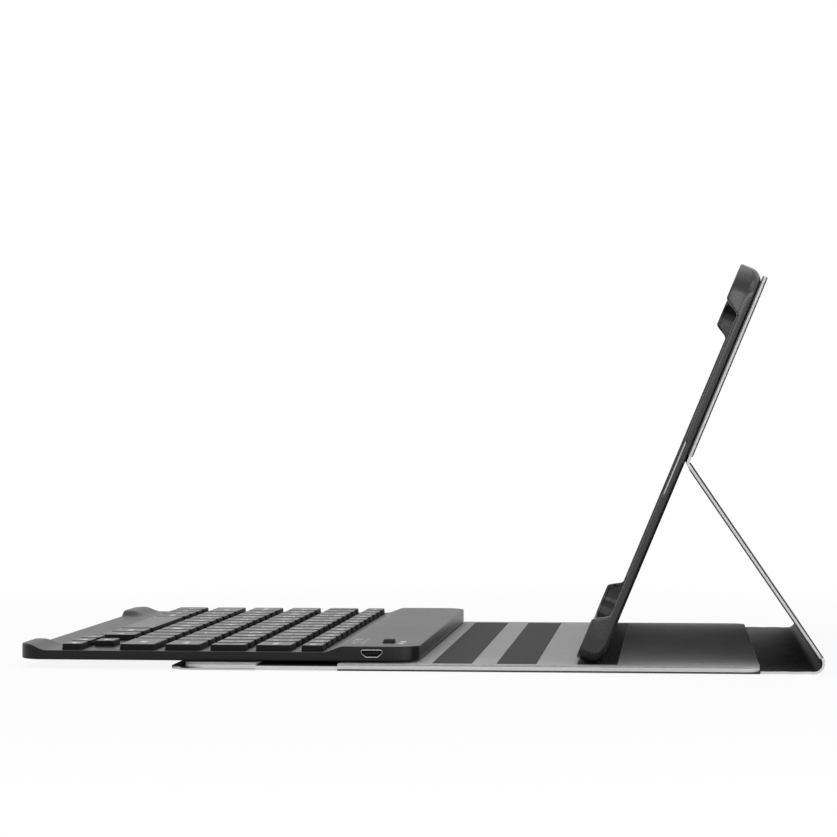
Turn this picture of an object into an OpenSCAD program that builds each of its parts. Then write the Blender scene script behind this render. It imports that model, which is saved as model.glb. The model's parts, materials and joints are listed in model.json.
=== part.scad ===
// Folding keyboard case: a folio cover with a stand back, a clip-in shell and a loose keyboard.
// Millimetres. X runs to the user's right, Y away from the user, Z up.
// The case is drawn standing open: the shell leans on the strut, the keyboard lies on the flap.

/* [Keyboard] */
// Width of the keyboard
kb_w = 250; // [235:1:256]
// Depth of the keyboard from front edge to rear edge
kb_d = 163; // [160:1:175]
// Corner radius of the keyboard in plan
kb_r = 10; // [6:0.5:14]
// Height of the low key tray above the keyboard's underside
tray_h = 3.8; // [3.6:0.1:4.6]
// Height of the rear deck and of the front corner pads
deck_h = 6.2; // [5.8:0.1:7.5]
// Thickness of the bottom cover
floor_t = 1.0; // [0.8:0.1:1.4]
// Side wall of the top cover
kb_wall = 2.2; // [1.6:0.1:3]
// Web of the tray that the keys come through
web_t = 0.8; // [0.6:0.1:1.2]
// Roof of the rear deck
deck_t = 1.2; // [0.8:0.1:1.6]
// Length of a raised front corner along the front edge
pad_len = 32; // [20:1:45]
// Length of the slope beside a raised front corner
pad_ramp = 9; // [5:0.5:14]
// Depth of a raised front corner, back to the key tray
pad_d = 11.7; // [9:0.1:12]
// Level part of a raised front corner
pad_flat = 6.5; // [4:0.1:7.5]
// Slope from the key tray up to the rear deck
deck_ramp = 7.5; // [3:0.5:8]
// Height of the rubber feet under the keyboard
feet_h = 0.6; // [0.4:0.1:1.5]

/* [Keys] */
// Margin from the side of the keyboard to the key field
key_side = 3.2; // [2.8:0.1:5]
// Distance from the front edge to the space row
key_front = 22.4; // [18:0.2:24]
// Distance between the rows
row_pitch = 18.6; // [18:0.1:19]
// Depth of a full key
key_d = 14.4; // [13:0.1:15]
// Depth of a key in the function row
func_d = 8.6; // [7.5:0.1:9.5]
// Depth of an arrow key
arrow_d = 8.2; // [7:0.1:8.4]
// Gap between neighbouring keys of a row
key_gap = 3; // [2.2:0.1:3.6]
// How far the arrow keys stand forward of the space row
arrow_lead = 5.2; // [4:0.2:6]
// Gap between the up and down arrow keys
arrow_gap = 1.6; // [1.2:0.1:2]
// Height of a key top above the tray
key_rise = 2.4; // [2:0.1:2.8]
// Thickness of a key's top
key_roof_t = 1.0; // [0.8:0.1:1.2]
// Wall of a hollow key
key_wall = 1.2; // [0.8:0.1:1.4]
// Corner radius of a key
key_r = 1.2; // [0.6:0.1:2]
// Travel of a key
key_travel = 1.5; // [1:0.1:1.5]
// Running gap round a key in the tray
key_clear = 0.35; // [0.25:0.05:0.5]

/* [Folio] */
// How far the folio cover stays inside the shell's sides
folio_in = 1.2; // [0.5:0.1:4]
// Length of the front cover panel that lies on the table
base_d = 168; // [160:1:180]
// How far the keyboard's rear edge lies over the front cover panel
kb_on_base = 32; // [24:1:40]
// Soft fold between the front cover and the closure flap
fold_d = 33; // [28:1:40]
// Stiff part of the closure flap
flap_d = 30; // [24:1:40]
// Soft lip at the end of the closure flap
lip_d = 5.6; // [4:0.2:10]
// Outer skin of the cover panels
skin_t = 0.7; // [0.5:0.1:1]
// Stiffening board in the cover panels
board_t = 1.5; // [1.2:0.1:2]
// Inner lining of the cover panels
lining_t = 0.6; // [0.4:0.1:0.9]
// Soft folded leather, two layers
soft_t = 1.2; // [0.8:0.1:1.6]
// Flat run of the spine on the table
spine_run = 21; // [15:0.5:28]
// Outside radius of the spine's curl
curl_r = 4.4; // [3.6:0.1:6]
// Corner radius of the cover panels
panel_r = 6; // [3:0.5:10]

/* [Stand] */
// How far the strut and the back panel stay inside the shell's sides
stand_in = 2.2; // [1.2:0.1:6]
// Thickness of the strut and of the back panel
stand_t = 2.0; // [1.6:0.1:2.6]
// Skin and lining of the strut and back panel
face_t = 0.5; // [0.3:0.1:0.6]
// Half of the soft crease between strut and back panel
crease_half = 3; // [2.5:0.1:5]
// Height of the crease on the shell, from its lower edge
crease_u = 88.8; // [84:0.2:94]
// Lean of the shell above the table in the upright position, as drawn
tilt = 67.3; // [62:0.1:72]
// Distance from the rear end of the front cover to the upright foot
foot_back = 66.4; // [60:0.2:70]
// Gap under the shell's foot
foot_gap = 0.35; // [0.2:0.05:0.6]
// Lean of the shell in the middle position
mid_tilt = 53; // [48:0.5:58]
// Lean of the shell in the lowest position
low_tilt = 39.4; // [38:0.2:44]
// Width of a grip strip that the foot stands on
strip_w = 16; // [12:0.5:20]
// How far a strip reaches in front of the foot
strip_lead = 6; // [3:0.5:8]

/* [Shell] */
// Long side of the device that the shell holds
dev_w = 254; // [240:0.5:262]
// Short side of the device
dev_h = 166; // [160:0.5:172]
// Thickness of the device
dev_t = 6.4; // [5.5:0.1:8]
// Play round the device
dev_play = 0.2; // [0.1:0.05:0.4]
// Rim wall of the shell
rim_t = 2.0; // [1.6:0.1:2.6]
// Back plate of the shell
plate_t = 2.2; // [1.8:0.1:2.6]
// Lip that hooks over the device at the front
lip_t = 1.2; // [0.8:0.1:1.6]
// Overhang of the lip
lip_over = 1.0; // [0.6:0.1:1.6]
// Corner radius of the shell seen from the front
shell_r = 12; // [9:0.5:18]
// Rounding of the back edges along the long sides
back_r = 5; // [3.6:0.1:5.4]
// Rounding of the back edges along the short sides
side_r = 4; // [3:0.1:5]
// Tall corner at the lower end of a short side
tall_low = 19.5; // [13:0.5:24]
// Tall corner at the upper end of a short side
tall_top = 18; // [13:0.5:24]
// Height of the low side wall above the back
low_wall = 3.6; // [3.6:0.1:5.5]
// Height of the side wall at the port
port_wall = 2.9; // [2.4:0.1:3.4]
// Length of the dip at the port
port_len = 21; // [14:1:30]
// Length of the open trough in the top edge
trough_len = 200; // [160:2:216]
// Height of the top wall under the trough
trough_wall = 3.4; // [2.8:0.1:4.4]
// Camera window, length
cam_w = 30; // [16:1:40]
// Camera window, height
cam_h = 14; // [10:1:18]
// Middle of the camera window from the two sides of the shell
cam_in = 26; // [24:1:32]

/* [Hidden] */
eps = 0.01;
steps = 10;
small_steps = 3;
small_r = 2.5;
fillet = 1.0;
round_fn = 32;

// Vertical stack of the folio panels and of the keyboard
board_z = skin_t;
lining_z = skin_t + board_t;
panel_t = skin_t + board_t + lining_t;
kb_z = panel_t + feet_h;

// Where the folio lies behind the keyboard's front edge
base_y = kb_d - kb_on_base;
base_end = base_y + base_d;
fold_y = base_y - fold_d;
flap_y = fold_y - flap_d;
lip_y = flap_y - lip_d;
curl_y = base_end + spine_run;
curl_z = curl_r;
mid_y = (curl_y + curl_r) / 2;

// The shell, from its back lower edge
cav_w = dev_w + 2 * dev_play;
cav_h = dev_h + 2 * dev_play;
shell_w = cav_w + 2 * rim_t;
shell_h = cav_h + 2 * rim_t;
shell_t = plate_t + dev_t + dev_play + lip_t;
folio_w = shell_w - 2 * folio_in;
stand_w = shell_w - 2 * stand_in;
foot_y = base_end - foot_back;
shell_z = panel_t + foot_gap - back_r * (sin(tilt) + cos(tilt) - 1);
shell_y = foot_y - back_r * (cos(tilt) - sin(tilt));
tall_ease = 3;
tall_wave = 5.5;
port_wave = 6;
trough_wave = 9;
cut_depth = 4 * (rim_t + lip_over);
cam_x = cam_in - shell_w / 2;
cam_u = shell_h - cam_in;
cam_r = 3;

// The crease on the shell's back, and the strut from there to the curl
crease_y = shell_y + crease_u * cos(tilt) + stand_t / 2 * sin(tilt);
crease_z = shell_z + crease_u * sin(tilt) - stand_t / 2 * cos(tilt);
reach = norm([curl_y - crease_y, crease_z - curl_z]);
strut_off = curl_r - stand_t / 2;
strut_a = atan2(crease_z - curl_z, curl_y - crease_y) - asin(strut_off / reach);
strut_l = sqrt(reach * reach - strut_off * strut_off);

// The foot's place on the front cover at each lean, as the strut folds down
foot_u = norm([crease_u - back_r, back_r + stand_t / 2]);
foot_a = atan2(back_r + stand_t / 2, crease_u - back_r);
foot_rise = panel_t + foot_gap + back_r - curl_z;
function foot_at(lean) = let (drop = foot_u * sin(lean - foot_a) + foot_rise)
    curl_y - sqrt(reach * reach - drop * drop) - foot_u * cos(lean - foot_a);
strips = [for (lean = [tilt, mid_tilt, low_tilt]) foot_at(lean) - strip_lead];
strip_len = folio_w - 2 * panel_r;

// Magnets of the folio and steel strips of the shell
bar_l = 30;
bar_w = 8;
bar_cover = 0.3;
bar_t = board_t - bar_cover;
bar_in = 48;
bar_side = folio_w / 2 - bar_in;
bars_x = [-bar_side, 0, bar_side];
flap_mag_r = 5;
flap_mag_in = 58;
flap_mag_side = folio_w / 2 - flap_mag_in;
flap_mags = [-flap_mag_side, flap_mag_side];
steel_l = 50;
steel_w = 6;
steel_t = 0.8;

// Key field: rows from front to rear, each a list of [node, caps, width in units]
row_units = 14;
unit = (kb_w - 2 * key_side) / row_units;
key_rows = [
    [["fn_key", 1, 1], ["control_key", 1, 1], ["alt_key", 1, 1], ["meta_key", 1, 1],
        ["space_bar", 1, 4.6], ["right_meta_key", 1, 1.2], ["right_alt_key", 1, 1.2]],
    [["left_shift_key", 1, 2], ["lower_letter_keys", 10, 1], ["right_shift_key", 1, 2]],
    [["caps_key", 1, 1.5], ["home_letter_keys", 11, 1], ["enter_key", 1, 1.5]],
    [["tab_key", 1, 1.25], ["upper_letter_keys", 12, 1], ["upper_letter_keys", 1, 0.75]],
    [["number_keys", 1, 0.75], ["number_keys", 12, 1], ["backspace_key", 1, 1.25]],
    [["escape_key", 1, 1], ["function_keys", 13, 1]]];
func_row = len(key_rows) - 1;
function before(runs, i) = i == 0 ? 0 : runs[i - 1][1] * runs[i - 1][2] + before(runs, i - 1);
// Each cap is [node, left edge, front edge, width, depth]
function cap(name, x, y, units, d) = [name, unit * (x - row_units / 2) + key_gap / 2, y,
    unit * units - key_gap, d];
row_caps = [for (r = [0:func_row], k = [0:len(key_rows[r]) - 1])
    let (run = key_rows[r][k], x = before(key_rows[r], k), d = r == func_row ? func_d : key_d)
    for (i = [0:run[1] - 1]) cap(run[0], x + i * run[2], key_front + r * row_pitch, run[2], d)];
arrow_front = key_front - arrow_lead;
arrow_back = arrow_front + arrow_d + arrow_gap;
arrow_caps = [
    cap("left_arrow_key", row_units - 3, arrow_front, 1, arrow_d),
    cap("down_arrow_key", row_units - 2, arrow_front, 1, arrow_d),
    cap("right_arrow_key", row_units - 1, arrow_front, 1, arrow_d),
    cap("up_arrow_key", row_units - 2, arrow_back, 1, arrow_d)];
caps = concat(row_caps, arrow_caps);
KEY_NODES = ["fn_key", "control_key", "alt_key", "meta_key", "space_bar", "right_meta_key",
    "right_alt_key", "left_shift_key", "lower_letter_keys", "right_shift_key", "caps_key",
    "home_letter_keys", "enter_key", "tab_key", "upper_letter_keys", "number_keys", "backspace_key",
    "escape_key", "function_keys", "left_arrow_key", "down_arrow_key", "right_arrow_key",
    "up_arrow_key"];

// Keyboard casing
deck_gap = 1.2;
deck_front = key_front + func_row * row_pitch + func_d + deck_gap;
deck_y = deck_front + deck_ramp;
pad_nose = 1.5;
pad_sag = 0.4;
screw_r = 0.75;
screw_gap = 0.05;
screw_end = tray_h - web_t;
tip_gap = 0.2;
head_r = 1.7;
head_t = 0.6;
boss_r = 2;
foot_w = 14;
foot_d = 6;
foot_r = 2;
foot_in = 25;
foot_side = kb_w / 2 - foot_in;
feet = [for (x = [-foot_side, foot_side], y = [fold_y - flap_d / 2, base_y + kb_on_base / 2]) [x, y]];

// Key contacts: steel plate, membrane and rubber domes
plate_in_t = 0.3;
membrane_t = 0.25;
sheet_gap = 0.5;
sheet_lead = 2;
sheet_r = 2;
sheet_x = kb_w / 2 - kb_wall - sheet_gap;
sheet_y = arrow_front - sheet_lead;
sheet_end = deck_front - deck_gap / 2;
membrane_z = floor_t + plate_in_t;
dome_z = membrane_z + membrane_t;
skirt_gap = 0.1;
skirt_z = dome_z + key_travel + skirt_gap;
key_top = tray_h + key_rise;
key_roof = key_top - key_roof_t;
dome_gap = 0.25;
dome_h = key_roof - key_travel - dome_z - dome_gap;
dome_side = 0.5;
dome_r = arrow_d / 2 - key_wall - dome_side;
dome_taper = 0.7;

// Rear bay: battery on the left, circuit board with port, switch and lamps on the right
bay_gap = 0.5;
bay_y = deck_y + bay_gap;
bay_end = kb_d - kb_wall - bay_gap;
bay_d = bay_end - bay_y;
pcb_t = 0.8;
pcb_z = floor_t + pcb_t;
pcb_l = 64;
pcb_end = kb_w / 2 - kb_wall - bay_gap;
pcb_x = pcb_end - pcb_l;
tail_in = 8;
tail_w = 18;
tail_lap = 4;
battery_in = 47.3;
battery_x = battery_in - kb_w / 2;
battery_room = 24;
battery_end = pcb_x - battery_room;
lead_w = 0.8;
lead_in = 0.4;
lead_pitch = 1.2;
usb_w = 8.8;
usb_h = 3.1;
usb_d = 7.4;
usb_wall = 0.35;
usb_in = 0.3;
usb_gap = 0.2;
usb_back = 1;
usb_tongue = 0.6;
usb_y = bay_y + 0.417 * bay_d;
usb_z = pcb_z + usb_h / 2;
knob_w = 4.6;
knob_l = 5;
knob_up = 1.2;
knob_travel = 4;
knob_gap = 0.3;
knob_r = 0.6;
switch_in = 24;
switch_x = pcb_end - switch_in;
switch_y = bay_y + 0.59 * bay_d;
switch_side = 1;
switch_drop = 1;
switch_top = deck_h - deck_t - switch_drop;
led_r = 0.8;
led_pitch = 10;
led_y = bay_y + 0.208 * bay_d;
led_x = [for (i = [-1:1]) switch_x - 2 + i * led_pitch];

// Screws and magnets of the keyboard, clear of the battery and the circuit board
front_gap = 5.6;
front_in = kb_wall + front_gap;
rear_gap = 2.6;
rear_screw_y = kb_d - kb_wall - rear_gap;
screw_in = 39;
screw_side = kb_w / 2 - screw_in;
room_mid = (battery_end + pcb_x) / 2;
room_step = battery_room / 4;
left_mid = battery_x - battery_in / 2;
left_step = battery_in / 4;
screws = [[-screw_side, front_in], [0, front_in], [screw_side, front_in],
    [left_mid - left_step, rear_screw_y], [left_mid + left_step, rear_screw_y],
    [room_mid + room_step, rear_screw_y]];
kb_mag_r = 4;
kb_mag_t = 1.5;
mag_in = 21;
mag_side = kb_w / 2 - mag_in;
mag_y = bay_y + 0.55 * bay_d;
kb_mags = [[-mag_side, front_in], [mag_side, front_in], [left_mid, mag_y], [room_mid - room_step, mag_y]];

// Points of an arc about c, fewer on a small radius
function arc(c, r, from, to) = r <= 0 ? [c] : let (n = r < small_r ? small_steps : steps)
    [for (i = [0:n]) let (a = from + (to - from) * i / n) c + r * [cos(a), sin(a)]];
// Rectangle from p to q with corner radii [low-left, low-right, top-right, top-left]
function round_rect(p, q, r) = concat(
    arc([p[0] + r[0], p[1] + r[0]], r[0], 180, 270), arc([q[0] - r[1], p[1] + r[1]], r[1], 270, 360),
    arc([q[0] - r[2], q[1] - r[2]], r[2], 0, 90), arc([p[0] + r[3], q[1] - r[3]], r[3], 90, 180));
function all_round(r) = [r, r, r, r];
// Half a wave from 0 to 1
function wave(i) = (1 - cos(180 * i / steps)) / 2;
// A dip with wave-shaped ends: from a to b at the top, ends of length s, down to low
function dip(a, b, s, low, top) = concat(
    [for (i = [0:steps]) [a + s * i / steps, top - (top - low) * wave(i)]],
    [for (i = [0:steps]) [b - s + s * i / steps, low + (top - low) * wave(i)]]);

// A flat sheet in plan, from p to q, lying at z
module sheet(p, q, r, z, t) { translate([0, 0, z]) linear_extrude(t) polygon(round_rect(p, q, r)); }
// A profile in Y and Z, drawn out along X over width w
module along_x(w) { translate([-w / 2, 0, 0]) rotate([90, 0, 90]) linear_extrude(w) children(); }
// A profile in X and Z, drawn out along Y from y over length l
module along_y(y, l) { translate([0, y + l, 0]) rotate([90, 0, 0]) linear_extrude(l) children(); }
// A round post standing at z
module post(r, z, h) { translate([0, 0, z]) cylinder(r = r, h = h, $fn = round_fn); }
module each_at(places) { for (p = places) translate([p[0], p[1], 0]) children(); }
// Frames of the folio, the keyboard, the leaning shell and the strut
module on_table() { translate([0, -mid_y, 0]) children(); }
module on_keyboard() { translate([0, -mid_y, kb_z]) children(); }
module on_shell() { translate([0, shell_y - mid_y, shell_z]) rotate([tilt, 0, 0]) children(); }
module on_strut() { translate([0, crease_y - mid_y, crease_z]) rotate([-strut_a, 0, 0]) children(); }

// Front cover panel
module base_sheet(r, z, t) {
    sheet([-folio_w / 2, base_y], [folio_w / 2, base_end], [0, 0, r, r], z, t);
}
module each_strip() { for (y = strips) translate([0, y, 0]) children(); }
module magnet_bars() {
    each_strip() for (x = bars_x) translate([x - bar_l / 2, (strip_w - bar_w) / 2, lining_z - bar_t])
        cube([bar_l, bar_w, bar_t]);
}
module strip_sheets() {
    each_strip() translate([-strip_len / 2, 0, lining_z]) cube([strip_len, strip_w, lining_t]);
}
module base_skin() { color("#343436") on_table() base_sheet(0, 0, skin_t); }
module base_board() {
    color("#b9bab7") on_table() difference() { base_sheet(panel_r, board_z, board_t); magnet_bars(); }
}
module base_magnets() { color("#9a9ca0") on_table() magnet_bars(); }
module base_lining() {
    color("#6d6d6f") on_table() difference() { base_sheet(panel_r, lining_z, lining_t); strip_sheets(); }
}
module grip_strips() { color("#2c2c2e") on_table() strip_sheets(); }

// Closure flap and its soft fold
module flap_sheet(y, r, z, t) { sheet([-folio_w / 2, y], [folio_w / 2, fold_y], [r, r, 0, 0], z, t); }
module flap_discs() {
    for (x = flap_mags) translate([x, fold_y - flap_d / 2, 0]) post(flap_mag_r, lining_z - bar_t, bar_t);
}
module flap_fold() {
    color("#2e2e30") on_table()
        sheet([-folio_w / 2, fold_y], [folio_w / 2, base_y], all_round(0), 0, soft_t);
}
module flap_skin() {
    color("#343436") on_table() {
        flap_sheet(lip_y, panel_r, 0, skin_t);
        difference() {
            flap_sheet(lip_y, panel_r, skin_t, soft_t - skin_t);
            translate([-folio_w, flap_y, 0]) cube([2 * folio_w, 2 * flap_d, panel_t]);
        }
    }
}
module flap_board() {
    color("#b9bab7") on_table() difference() { flap_sheet(flap_y, panel_r, board_z, board_t); flap_discs(); }
}
module flap_lining() { color("#6d6d6f") on_table() flap_sheet(flap_y, panel_r, lining_z, lining_t); }
module flap_magnets() { color("#9a9ca0") on_table() flap_discs(); }

// Spine: a flat run, then a curl up to the strut
module spine() {
    end = 90 - strut_a;
    color("#2e2e30") on_table() along_x(folio_w) polygon(concat([[base_end, soft_t], [base_end, 0]],
        arc([curl_y, curl_z], curl_r, -90, end), arc([curl_y, curl_z], curl_r - soft_t, end, -90)));
}

// Strut, from the crease down to the curl; its outer face is up
module strut_sheet(z, t) {
    translate([-stand_w / 2, crease_half, z]) cube([stand_w, strut_l - crease_half, t]);
}
module strut_lining() { color("#6d6d6f") on_strut() strut_sheet(-stand_t / 2, face_t); }
module strut_board() {
    color("#b9bab7") on_strut() strut_sheet(face_t - stand_t / 2, stand_t - 2 * face_t);
}
module strut_skin() { color("#343436") on_strut() strut_sheet(stand_t / 2 - face_t, face_t); }
module crease_strip() {
    bend = [crease_y, crease_z];
    half = (tilt + strut_a) / 2;
    mid = (tilt - strut_a) / 2;
    up = crease_half * [cos(tilt), sin(tilt)];
    down = crease_half * [cos(strut_a), -sin(strut_a)];
    out_up = soft_t / 2 * [-sin(tilt), cos(tilt)];
    out_down = soft_t / 2 * [-sin(strut_a), -cos(strut_a)];
    color("#2e2e30") on_table() along_x(stand_w) polygon(concat([bend + up + out_up],
        arc(bend, soft_t / 2, 90 + tilt, 270 - strut_a),
        [bend + down + out_down, bend + down - out_down,
        bend + soft_t / 2 / sin(half) * [cos(mid), sin(mid)], bend + up - out_up]));
}

// Back panel, bonded to the upper half of the shell's back
module camera_window() {
    sheet([cam_x - cam_w / 2, cam_u - cam_h / 2], [cam_x + cam_w / 2, cam_u + cam_h / 2],
        all_round(cam_r), -2 * stand_t, 4 * stand_t + plate_t);
}
module back_sheet(z, t) {
    difference() {
        sheet([-stand_w / 2, crease_u + crease_half], [stand_w / 2, shell_h - fillet],
            [0, 0, shell_r, shell_r], z, t);
        camera_window();
    }
}
module back_bond() { color("#5a5a5c") on_shell() back_sheet(-face_t, face_t); }
module back_board() { color("#b9bab7") on_shell() back_sheet(face_t - stand_t, stand_t - 2 * face_t); }
module back_skin() { color("#343436") on_shell() back_sheet(-stand_t, face_t); }

// Shell, lying on its back: X across, Y up the shell, Z towards the open front
module shell_form() {
    intersection() {
        sheet([-shell_w / 2, 0], [shell_w / 2, shell_h], all_round(shell_r), 0, shell_t);
        along_x(shell_w)
            polygon(round_rect([0, 0], [shell_h, shell_t], [back_r, back_r, fillet, fillet]));
        along_y(0, shell_h) polygon(round_rect([-shell_w / 2, 0], [shell_w / 2, shell_t],
            [side_r, side_r, fillet, fillet]));
    }
}
module cavity(inset, z, t) {
    sheet([inset - cav_w / 2, rim_t + inset], [cav_w / 2 - inset, shell_h - rim_t - inset],
        all_round(shell_r - rim_t), z, t);
}
module side_cut(side, a, b, s, low) {
    translate([side * shell_w / 2, 0, 0]) along_x(cut_depth) polygon(dip(a, b, s, low, shell_t + eps));
}
module top_cut() {
    along_y(shell_h - cut_depth / 2, cut_depth)
        polygon(dip(-trough_len / 2, trough_len / 2, trough_wave, trough_wall, shell_t + eps));
}
module steel_bars() {
    for (x = bars_x) translate([x - steel_l / 2, back_r, plate_t - steel_t])
        cube([steel_l, steel_w, steel_t]);
}
module shell_rim() {
    low = tall_low - tall_ease;
    high = shell_h - tall_top + tall_ease;
    color("#1c1c1e") on_shell() difference() {
        shell_form();
        cavity(0, -1, shell_t - lip_t + 1);
        cavity(lip_over, 0, shell_t + 1);
        for (side = [-1, 1]) side_cut(side, low, high, tall_wave, low_wall);
        side_cut(1, (shell_h - port_len) / 2 - port_wave, (shell_h + port_len) / 2 + port_wave,
            port_wave, port_wall);
        top_cut();
    }
}
module shell_plate() {
    color("#1c1c1e") on_shell() difference() {
        intersection() { shell_form(); cavity(0, 0, plate_t); }
        steel_bars();
        camera_window();
    }
}
module foot_steels() { color("#9a9ca0") on_shell() steel_bars(); }

// Keyboard casing: a flat bottom and a top with a low key tray, a rear deck and raised front corners
module kb_plan(inset, z, t) {
    sheet([inset - kb_w / 2, inset], [kb_w / 2 - inset, kb_d - inset], all_round(kb_r - inset), z, t);
}
module corner_pad() {
    side = kb_w / 2 - pad_len;
    intersection() {
        along_x(kb_w) polygon([[0, floor_t], [0, deck_h - pad_nose], [pad_nose, deck_h],
            [pad_flat, deck_h - pad_sag], [pad_d, tray_h], [pad_d, floor_t]]);
        along_y(0, kb_d) polygon([[kb_w / 2, floor_t], [kb_w / 2, deck_h], [side, deck_h],
            [side - pad_ramp, tray_h], [side - pad_ramp, floor_t]]);
    }
}
module kb_outside() {
    intersection() {
        kb_plan(0, floor_t, deck_h);
        union() {
            along_x(kb_w) polygon([[0, floor_t], [kb_d, floor_t], [kb_d, deck_h - fillet],
                [kb_d - fillet, deck_h], [deck_y + fillet, deck_h], [deck_y, deck_h - fillet / 3],
                [deck_front, tray_h], [0, tray_h]]);
            for (side = [0, 1]) mirror([side, 0, 0]) corner_pad();
        }
    }
}
module kb_inside() {
    intersection() {
        kb_plan(kb_wall, 0, deck_h);
        along_x(kb_w) polygon([[0, 0], [kb_d, 0], [kb_d, deck_h - deck_t], [bay_y, deck_h - deck_t],
            [deck_front + web_t, tray_h - web_t], [0, tray_h - web_t]]);
    }
}
module key_plan(c, grow, z, t) {
    sheet([c[1] - grow, c[2] - grow], [c[1] + c[3] + grow, c[2] + c[4] + grow],
        all_round(key_r + grow), z, t);
}
module bottom_cover() {
    color("#242426") on_keyboard() difference() {
        kb_plan(0, 0, floor_t);
        each_at(screws) {
            post(screw_r + screw_gap, -eps, floor_t + 1);
            post(head_r + screw_gap, -eps, head_t + eps);
        }
    }
}
module port_hole() {
    w = usb_w + 2 * usb_gap;
    h = usb_h + 2 * usb_gap;
    translate([kb_w / 2 - kb_wall - 1, usb_y - w / 2, usb_z - h / 2]) cube([kb_wall + 2, w, h]);
}
module knob_slot() {
    translate([switch_x - knob_gap, switch_y - knob_w / 2 - knob_gap, switch_top])
        cube([knob_l + knob_travel + 2 * knob_gap, knob_w + 2 * knob_gap, deck_h]);
}
module top_cover() {
    color("#4a4a4c") on_keyboard() difference() {
        union() {
            difference() { kb_outside(); kb_inside(); }
            intersection() { kb_outside(); each_at(screws) post(boss_r, floor_t, deck_h); }
        }
        each_at(screws) post(screw_r + screw_gap, 0, screw_end);
        for (c = caps) key_plan(c, key_clear, 0, deck_h);
        port_hole();
        knob_slot();
        for (x = led_x) translate([x, led_y, 0]) post(led_r + screw_gap, switch_top, deck_h);
    }
}
module rubber_feet() {
    color("#111112") on_keyboard() each_at(feet)
        sheet([-foot_w / 2, -foot_d / 2], [foot_w / 2, foot_d / 2], all_round(foot_r), -feet_h, feet_h);
}
module case_screws() {
    color("#8e9094") on_keyboard() each_at(screws) {
        post(head_r, 0, head_t);
        post(screw_r, 0, screw_end - tip_gap);
    }
}

// Inside of the keyboard, from the bottom cover up
module inner_sheet(z, t) { sheet([-sheet_x, sheet_y], [sheet_x, sheet_end], all_round(sheet_r), z, t); }
module key_plate() { color("#8f9296") on_keyboard() inner_sheet(floor_t, plate_in_t); }
module membrane() { color("#5c7a4e") on_keyboard() inner_sheet(membrane_z, membrane_t); }
module key_domes() {
    color("#d8d8d4") on_keyboard() for (c = caps)
        translate([c[1] + c[3] / 2, c[2] + c[4] / 2, dome_z])
            cylinder(r1 = dome_r, r2 = dome_r * dome_taper, h = dome_h, $fn = round_fn);
}
module ribbon_tail() {
    color("#c9b26a") on_keyboard() translate([pcb_x + tail_in + tail_w / 2, 0, 0]) along_x(tail_w)
        polygon([[sheet_end, membrane_z], [bay_y, pcb_z], [bay_y + tail_lap, pcb_z],
            [bay_y + tail_lap, pcb_z + membrane_t], [bay_y, pcb_z + membrane_t],
            [sheet_end, membrane_z + membrane_t]]);
}
module circuit_board() {
    color("#2f5d3a") on_keyboard()
        sheet([pcb_x, bay_y], [pcb_end, bay_end], [0, 0, kb_r - kb_wall, 0], floor_t, pcb_t);
}
module battery() {
    depth = rear_screw_y - boss_r - bay_gap - bay_y;
    color("#b9bcc0") on_keyboard() translate([battery_x, bay_y, floor_t])
        cube([battery_end - battery_x, depth, deck_h - deck_t - floor_t - bay_gap]);
}
module battery_leads() {
    color("#a83232") on_keyboard() for (i = [0, 1])
        translate([battery_end, bay_y + lead_in + i * lead_pitch, floor_t])
            cube([pcb_x - battery_end, lead_w, lead_w]);
}
module usb_socket() {
    inner_w = usb_w - 2 * usb_wall;
    inner_h = usb_h - 2 * usb_wall;
    color("#c9ccd0") on_keyboard() translate([kb_w / 2 - usb_d - usb_in, usb_y, usb_z]) {
        difference() {
            translate([0, -usb_w / 2, -usb_h / 2]) cube([usb_d, usb_w, usb_h]);
            translate([usb_back, -inner_w / 2, -inner_h / 2]) cube([usb_d, inner_w, inner_h]);
        }
        translate([usb_wall, -inner_w / 3, 0]) cube([usb_d - usb_back, inner_w * 2 / 3, usb_tongue]);
    }
}
module switch_body() {
    w = knob_w + 2 * switch_side;
    color("#b0b3b7") on_keyboard() translate([switch_x - switch_side, switch_y - w / 2, pcb_z])
        cube([knob_l + knob_travel + 2 * switch_side, w, switch_top - pcb_z]);
}
module switch_knob() {
    color("#161617") on_keyboard() translate([switch_x, switch_y, 0])
        sheet([0, -knob_w / 2], [knob_l, knob_w / 2], all_round(knob_r), switch_top,
            deck_h + knob_up - switch_top);
}
module led_windows() {
    color("#e8e8e2") on_keyboard() for (x = led_x) translate([x, led_y, 0])
        post(led_r, deck_h - deck_t, deck_t);
}
module keyboard_magnets() {
    color("#9a9ca0") on_keyboard() each_at(kb_mags) post(kb_mag_r, floor_t, kb_mag_t);
}

// Keycaps: hollow caps whose skirts run in the tray's openings
module keycap(c) {
    difference() {
        key_plan(c, 0, skirt_z, key_top - skirt_z);
        key_plan(c, -key_wall, skirt_z - 1, key_roof - skirt_z + 1);
    }
}
module key_group(name) {
    color("#4c4c4e") on_keyboard() for (c = caps) if (c[0] == name) keycap(c);
}

base_skin();
base_board();
base_lining();
grip_strips();
base_magnets();
flap_fold();
flap_skin();
flap_board();
flap_lining();
flap_magnets();
spine();
strut_skin();
strut_board();
strut_lining();
crease_strip();
back_skin();
back_board();
back_bond();
shell_plate();
shell_rim();
foot_steels();
bottom_cover();
top_cover();
key_plate();
membrane();
key_domes();
ribbon_tail();
circuit_board();
battery();
battery_leads();
usb_socket();
switch_body();
switch_knob();
led_windows();
rubber_feet();
case_screws();
keyboard_magnets();
for (name = KEY_NODES) key_group(name);
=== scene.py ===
# Folio keyboard stand: the looks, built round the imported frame
import json
from math import acos, asin, atan2, cos, degrees, hypot, pi, radians, sin, sqrt

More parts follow.
